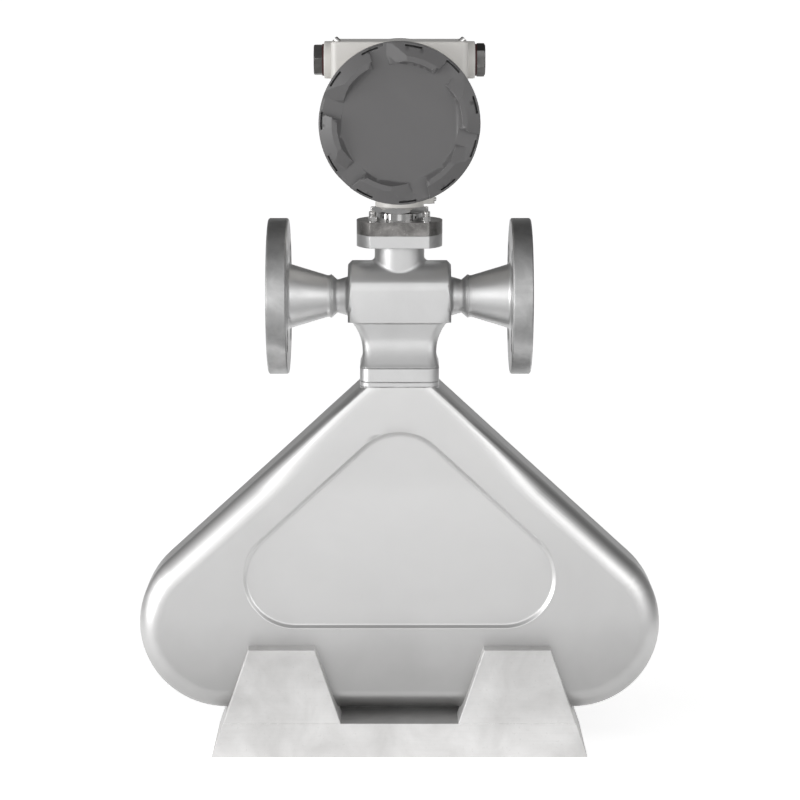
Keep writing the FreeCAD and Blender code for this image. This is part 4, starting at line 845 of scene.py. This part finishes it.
def make_weld_bead():
    """A rippled bead along the piece's edges, wandering a little as a hand-laid weld does."""
    tree, given, result = geometry_tree("weld_bead", [("Bead Radius", "Float", 0.001),
                                                      ("Ripple Length", "Float", 0.002),
                                                      ("Ripple Depth", "Float", 0.15),
                                                      ("Wander", "Float", 0.0002), ("Seed", "Float", 1.0),
                                                      ("Finish", "Material", None)])
    path = node(tree, "GeometryNodeMeshToCurve", {"Mesh": given["Geometry"]}).outputs["Curve"]
    pace = math_node(tree, "DIVIDE", given["Ripple Length"], 5.0)
    even = node(tree, "GeometryNodeResampleCurve", {"Curve": path, "Length": pace},
                mode="LENGTH").outputs["Curve"]
    along = node(tree, "GeometryNodeSplineParameter").outputs["Length"]
    phase = times(tree, math_node(tree, "DIVIDE", along, given["Ripple Length"]), math.pi)
    swell = math_node(tree, "ABSOLUTE", math_node(tree, "SINE", phase))
    width = plus(tree, times(tree, swell, given["Ripple Depth"]), 1.0)
    ribbed = node(tree, "GeometryNodeSetCurveRadius", {"Curve": even, "Radius": width}).outputs["Curve"]
    place = node(tree, "GeometryNodeInputPosition").outputs["Position"]
    drift = node(tree, "ShaderNodeTexNoise", {"Vector": place, "W": given["Seed"], "Scale": 90.0,
                                              "Detail": 1.0}, noise_dimensions="4D").outputs["Color"]
    centred = node(tree, "ShaderNodeVectorMath", {0: drift, 1: (0.5, 0.5, 0.5)}, operation="SUBTRACT")
    shift = node(tree, "ShaderNodeVectorMath", {0: centred.outputs["Vector"], "Scale": given["Wander"]},
                 operation="SCALE").outputs["Vector"]
    laid = node(tree, "GeometryNodeSetPosition", {"Geometry": ribbed, "Offset": shift}).outputs["Geometry"]
    section = node(tree, "GeometryNodeCurvePrimitiveCircle",
                   {"Resolution": 10, "Radius": given["Bead Radius"]})
    bead = node(tree, "GeometryNodeCurveToMesh", {"Curve": laid, "Profile Curve": section.outputs["Curve"]})
    smooth = node(tree, "GeometryNodeSetShadeSmooth", {"Geometry": bead.outputs["Mesh"]}).outputs["Geometry"]
    end_tree(tree, smooth, given["Finish"], result)
    return tree


BOLT_CIRCLE = make_bolt_circle()
WELD_BEAD = make_weld_bead()


def grown(name, base, tree, **values):
    """The plain mesh that a tree makes of a base mesh."""
    piece = shown("base", base)
    growing = piece.modifiers.new("grow", "NODES")
    growing.node_group = tree
    for socket in tree.interface.items_tree:
        label = socket.name.replace(" ", "_")
        if socket.in_out == "INPUT" and label in values:
            growing[socket.identifier] = values[label]
    return settled(name, piece)


def ease(value, low, high):
    """A smooth step from 0 at low to 1 at high. low may lie above high."""
    share = min(1.0, max(0.0, (value - low) / (high - low)))
    return share * share * (3 - 2 * share)


def reshaped(node_name, body, cuts, move, finish, crease=28):
    """A merged copy of a CAD piece, cut level at the given heights and moved point by point, in its place.
    Edges sharper than crease degrees stay crisp."""
    bm = bmesh.new()
    bm.from_mesh(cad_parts[node_name].data)
    bmesh.ops.remove_doubles(bm, verts=bm.verts, dist=0.005 * MM)
    for height in cuts:
        bmesh.ops.bisect_plane(bm, geom=bm.verts[:] + bm.edges[:] + bm.faces[:], dist=0.001 * MM,
                               plane_co=(0.0, 0.0, height), plane_no=(0.0, 0.0, 1.0))
    for point in bm.verts:
        point.co = move(point.co)
    mesh = bpy.data.meshes.new(f"shown_{node_name}")
    bm.to_mesh(mesh)
    bm.free()
    mesh.shade_smooth()
    mesh.set_sharp_from_angle(angle=math.radians(crease))
    mesh.materials.append(FINISHES[finish])
    rough = shown("reshaped", mesh)
    evening = rough.modifiers.new("normals", "WEIGHTED_NORMAL")
    evening.keep_sharp = True
    evening.weight = 100
    piece = settled(f"shown_{node_name}", rough)
    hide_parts(node_name)
    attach(piece, body)


def add_manifold():
    """The casting with the undercut below its block, where the neck to the case falls back."""
    ledge = AXIS_HEIGHT - BLOCK_DROP
    foot = COLLAR_TOP + 3 * MM

    def move(place):
        fall = ease(place.z, ledge - 0.1 * MM, ledge - 1.3 * MM) * ease(place.z, foot, foot + 20 * MM)
        return Vector((place.x, place.y * (1 - NECK_UNDERCUT * fall), place.z))

    cuts = [ledge - step * MM for step in (0.1, 0.4, 0.7, 1.0, 1.3, 4.0, 8.0)]
    cuts += [foot + step * MM for step in range(0, 22, 2)]
    reshaped("manifold_block", "sensor", cuts, move, "cast_steel")


def add_collar():
    """The collar ends at its lower weld: what would hang over the case's slopes is drawn up."""
    def move(place):
        over = min(0.0, place.z - COLLAR_END)
        return Vector((place.x, place.y, place.z - over * DRAWN_UP))

    reshaped("case_collar", "sensor", [COLLAR_END], move, "collar_steel")


def outside_panel(place):
    """How far a point lies outside the panel's rounded outline, seen from the front."""
    across, up = abs(place.x), place.z
    slope = Vector((PANEL_CORNER[0], PANEL_CORNER[1] - PANEL_APEX))
    spoke = Vector((across, up - PANEL_APEX))
    beyond = slope.x * spoke.y - slope.y * spoke.x
    if up >= PANEL_CORNER[1] and beyond <= 0:
        return -PANEL_RADIUS
    along = min(1.0, max(0.0, spoke.dot(slope) / slope.dot(slope)))
    to_slope = (spoke - slope * along).length
    to_foot = math.hypot(max(0.0, across - PANEL_CORNER[0]), up - PANEL_CORNER[1])
    return min(to_slope, to_foot) - PANEL_RADIUS


def inside_slopes(place):
    """How far a point lies inside the case's two slopes and the round that joins them."""
    down = SLOPE_TOP - CASE_APEX_RADIUS / math.cos(CASE_SLOPE) - place.z
    across = abs(place.x)
    if across * math.cos(CASE_SLOPE) + down * math.sin(CASE_SLOPE) < 0:
        return CASE_APEX_RADIUS - math.hypot(across, down)
    return CASE_APEX_RADIUS - across * math.sin(CASE_SLOPE) + down * math.cos(CASE_SLOPE)


def add_case_shells():
    """The pressed shells: their rolled edges tighten towards the collar, where they end at its weld, and the
    panel is drawn deeper at its top."""
    for name, side in (("case_front_shell", -1), ("case_rear_shell", 1)):
        flat = max(abs(corner.y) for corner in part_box(name))

        def move(place):
            depth = flat - abs(place.y)
            rolled = max(0.0, CASE_EDGE - inside_slopes(place))
            falls = CASE_EDGE - math.sqrt(max(0.0, CASE_EDGE ** 2 - rolled ** 2))
            tight = CASE_EDGE * (falls / CASE_EDGE) ** (1 + 2 * ease(place.z, *CASE_TIGHT))
            depth += (tight - falls) * ease(depth, CASE_EDGE, CASE_EDGE * 0.6)
            drawn = PANEL_EXTRA[0] + (PANEL_EXTRA[1] - PANEL_EXTRA[0]) * ease(place.z, PANEL_FOOT, PANEL_APEX)
            depth += drawn * ease(outside_panel(place), 1.2 * MM, -1.6 * MM)
            over = max(0.0, place.z - CASE_END)
            return Vector((place.x, side * (flat - depth), place.z - over * DRAWN_UP))

        cuts = [CASE_TIGHT[0] + step * 8 * MM for step in range(11)] + [CASE_END]
        reshaped(name, "sensor", cuts, move, "case_steel")


def add_covers():
    """The screw covers with a draft on the lugs' inner walls. The rear one's rim is a little smaller, because
    nothing of it shows over the conduit box."""
    for name, rim in (("front_cover", 1.0), ("rear_cover", REAR_RIM)):
        def move(place):
            spoke = Vector((place.x, 0.0, place.z - HEAD_HEIGHT))
            reach = spoke.length
            kept = reach
            rise = abs(place.y) - COVER_FACE
            if rise > 0 and abs(reach - LUG_INNER_RADIUS) < LUG_WALL_SLACK:
                kept += rise * LUG_DRAFT
            if reach > COVER_WAIST:
                kept = COVER_WAIST + (reach - COVER_WAIST) * rim
            if kept == reach:
                return place.copy()
            return Vector((0.0, place.y, HEAD_HEIGHT)) + spoke * (kept / reach)

        reshaped(name, name, [], move, "cover_paint", crease=12)


def add_plate_fasteners():
    """Studs, washers and nuts that hold the head plate down, four of each."""
    fasteners = (("plate_studs", draw_stud, STUD_SPAN[0]), ("plate_washers", draw_washer, HEAD_TOP),
                 ("plate_nuts", draw_nut, HEAD_TOP + WASHER_THICKNESS))
    for name, draw, level in fasteners:
        made = grown(f"shown_{name}", drawn_mesh(name, draw), BOLT_CIRCLE, Count=STUDS,
                     Radius=STUD_CIRCLE_RADIUS, First_Angle=math.radians(45), Level=level,
                     Finish=FINISHES["fastener_steel"])
        made.data.set_sharp_from_angle(angle=math.radians(35))
        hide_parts(name)
        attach(made, "sensor")


def add_top_screws():
    heads = []
    for side in (-1, 1):
        head = recessed(f"top_screw_{side}", draw_screw_head, draw_slot, "fastener_steel")
        lean = Euler((0.0, math.radians(side * TOP_SCREW_LEAN), math.radians(side * 20))).to_matrix().to_4x4()
        x, y = TOP_SCREW_PLACE
        head.data.transform(Matrix.Translation((side * x, y, HOUSING_TOP)) @ lean)
        heads.append(head)
    screws = joined("shown_top_screws", heads)
    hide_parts("top_screws")
    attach(screws, "transmitter")


def add_lock_screw():
    screw = recessed("shown_lock_screw", draw_lock_screw, draw_socket, "fastener_steel")
    middle = (LOCK_SCREW[0] + LOCK_SCREW[1]) / 2
    level = Euler((0.0, math.radians(90), 0.0)).to_matrix().to_4x4()
    screw.data.transform(Matrix.Translation((LOCK_SCREW[0].x, middle.y, middle.z)) @ level)
    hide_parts("lock_screw")
    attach(screw, "transmitter")


def add_hub_welds():
    """The bead where each flange hub is welded to the manifold."""
    for name, side in (("inlet_weld", -1), ("outlet_weld", 1)):
        ring = bpy.data.meshes.new(name)
        points = [(side * HUB_WELD_X, HUB_WELD_RADIUS * math.cos(math.tau * step / 96),
                   AXIS_HEIGHT + HUB_WELD_RADIUS * math.sin(math.tau * step / 96)) for step in range(96)]
        ring.from_pydata(points, [(step, (step + 1) % 96) for step in range(96)], [])
        bead = grown(name, ring, WELD_BEAD, Bead_Radius=HUB_BEAD_RADIUS, Ripple_Length=RIPPLE_LENGTH,
                     Ripple_Depth=0.18, Wander=0.3 * MM, Seed=3.0 + side, Finish=FINISHES["cast_steel"])
        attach(bead, "sensor")


# stage, lights and camera

def ramp_of(tree, value, stops):
    """A colour ramp of greys; stops are pairs of place and tone."""
    ramp = node(tree, "ShaderNodeValToRGB", {"Fac": value})
    points = ramp.color_ramp.elements
    while len(points) < len(stops):
        points.new(0.5)
    for point, (place, tone) in zip(points, stops):
        point.position = place
        point.color = (tone, tone, tone, 1)
    return ramp.outputs["Color"]


def area_light(name, place, target, size, watts):
    lamp = bpy.data.lights.new(name, "AREA")
    lamp.shape = "RECTANGLE"
    lamp.size, lamp.size_y = size
    lamp.energy = watts
    made = bpy.data.objects.new(name, lamp)
    made.location = place
    made.rotation_mode = "QUATERNION"
    made.rotation_quaternion = (Vector(target) - Vector(place)).to_track_quat("-Z", "Y")
    bpy.context.collection.objects.link(made)


def make_stage():
    """A wide pale floor that glows a little, as a white table lit from below does. What the part mirrors of
    it darkens to the sides and in front, which the camera doesn't see."""
    mesh = bpy.data.meshes.new("floor")
    corners = [(FLOOR_REACH * x, FLOOR_REACH * y, 0) for x, y in ((-1, -1), (1, -1), (1, 1), (-1, 1))]
    mesh.from_pydata(corners, [], [(0, 1, 2, 3)])
    floor = shown("floor", mesh)
    material, tree, shader, place = new_material("floor", Roughness=0.9, Emission_Strength=0.66)
    x, y, _ = split(tree, place)
    widening = times(tree, math_node(tree, "MAXIMUM", y, 0.0), 0.2)
    aside = minus(tree, math_node(tree, "ABSOLUTE", x), widening)
    sideways = smooth_step(tree, aside, 0.36, 1.1)
    ahead = ramp_of(tree, remap(tree, y, -1.5, 0.0),
                    ((0.0, 0.10), (0.45, 0.25), (0.72, 0.85), (0.85, 0.85), (0.895, 0.0)))
    unseen = minus(tree, 1.0, node(tree, "ShaderNodeLightPath").outputs["Is Camera Ray"])
    fall = times(tree, math_node(tree, "MAXIMUM", sideways, ahead), unseen)
    tree.links.new(mix_colour(tree, fall, grey(0.94), grey(0.40)), shader["Base Color"])
    tree.links.new(mix_colour(tree, fall, grey(1.0), grey(0.25)), shader["Emission Color"])
    mesh.materials.append(material)


def make_surround():
    """Light all round: bright from the camera's left, dimmer overhead and to the right, dark behind. The
    camera itself sees plain white."""
    world = bpy.data.worlds.new("studio")
    bpy.context.scene.world = world
    world.use_nodes = True
    tree = world.node_tree
    direction = node(tree, "ShaderNodeTexCoord").outputs["Generated"]
    facing = node(tree, "ShaderNodeVectorMath", {0: direction, 1: (-0.35, -0.937, 0.0)},
                  operation="DOT_PRODUCT").outputs["Value"]
    round_about = ramp_of(tree, remap(tree, facing, -1.0, 1.0),
                          ((0.0, 0.20), (0.20, 0.10), (0.35, 0.22), (0.48, 0.48), (0.60, 0.70), (0.80, 0.95),
                           (1.0, 1.0)))
    overhead = ramp_of(tree, split(tree, direction)[2], ((0.0, 1.0), (0.30, 1.0), (0.60, 0.45), (1.0, 0.22)))
    tone = mix_colour(tree, 1.0, round_about, overhead, blend="MULTIPLY")
    seen = node(tree, "ShaderNodeLightPath").outputs["Is Camera Ray"]
    background = tree.nodes["Background"]
    tree.links.new(mix_colour(tree, seen, tone, grey(1 / SURROUND_STRENGTH)), background.inputs["Color"])
    background.inputs["Strength"].default_value = SURROUND_STRENGTH


def make_camera():
    lens = bpy.data.cameras.new("camera")
    lens.sensor_width = SENSOR_WIDTH
    lens.lens = FOCAL_LENGTH
    lens.shift_x = SIDE_SHIFT
    camera = bpy.data.objects.new("camera", lens)
    camera.location = CAMERA_PLACE
    camera.rotation_euler = (math.radians(90 - CAMERA_TILT), 0.0, 0.0)
    bpy.context.collection.objects.link(camera)
    bpy.context.scene.camera = camera


finish_nodes()
add_manifold()
add_collar()
add_case_shells()
add_covers()
add_plate_fasteners()
add_top_screws()
add_lock_screw()
add_hub_welds()
make_stage()
make_surround()
area_light("left_box", (-2.2, -1.1, 0.5), (0, 0, 0.4), (1.4, 0.9), 24)
area_light("right_box", (1.9, -2.0, 0.8), (0, 0, 0.3), (1.2, 1.2), 5)
bpy.context.scene.view_settings.view_transform = "Standard"
make_camera()
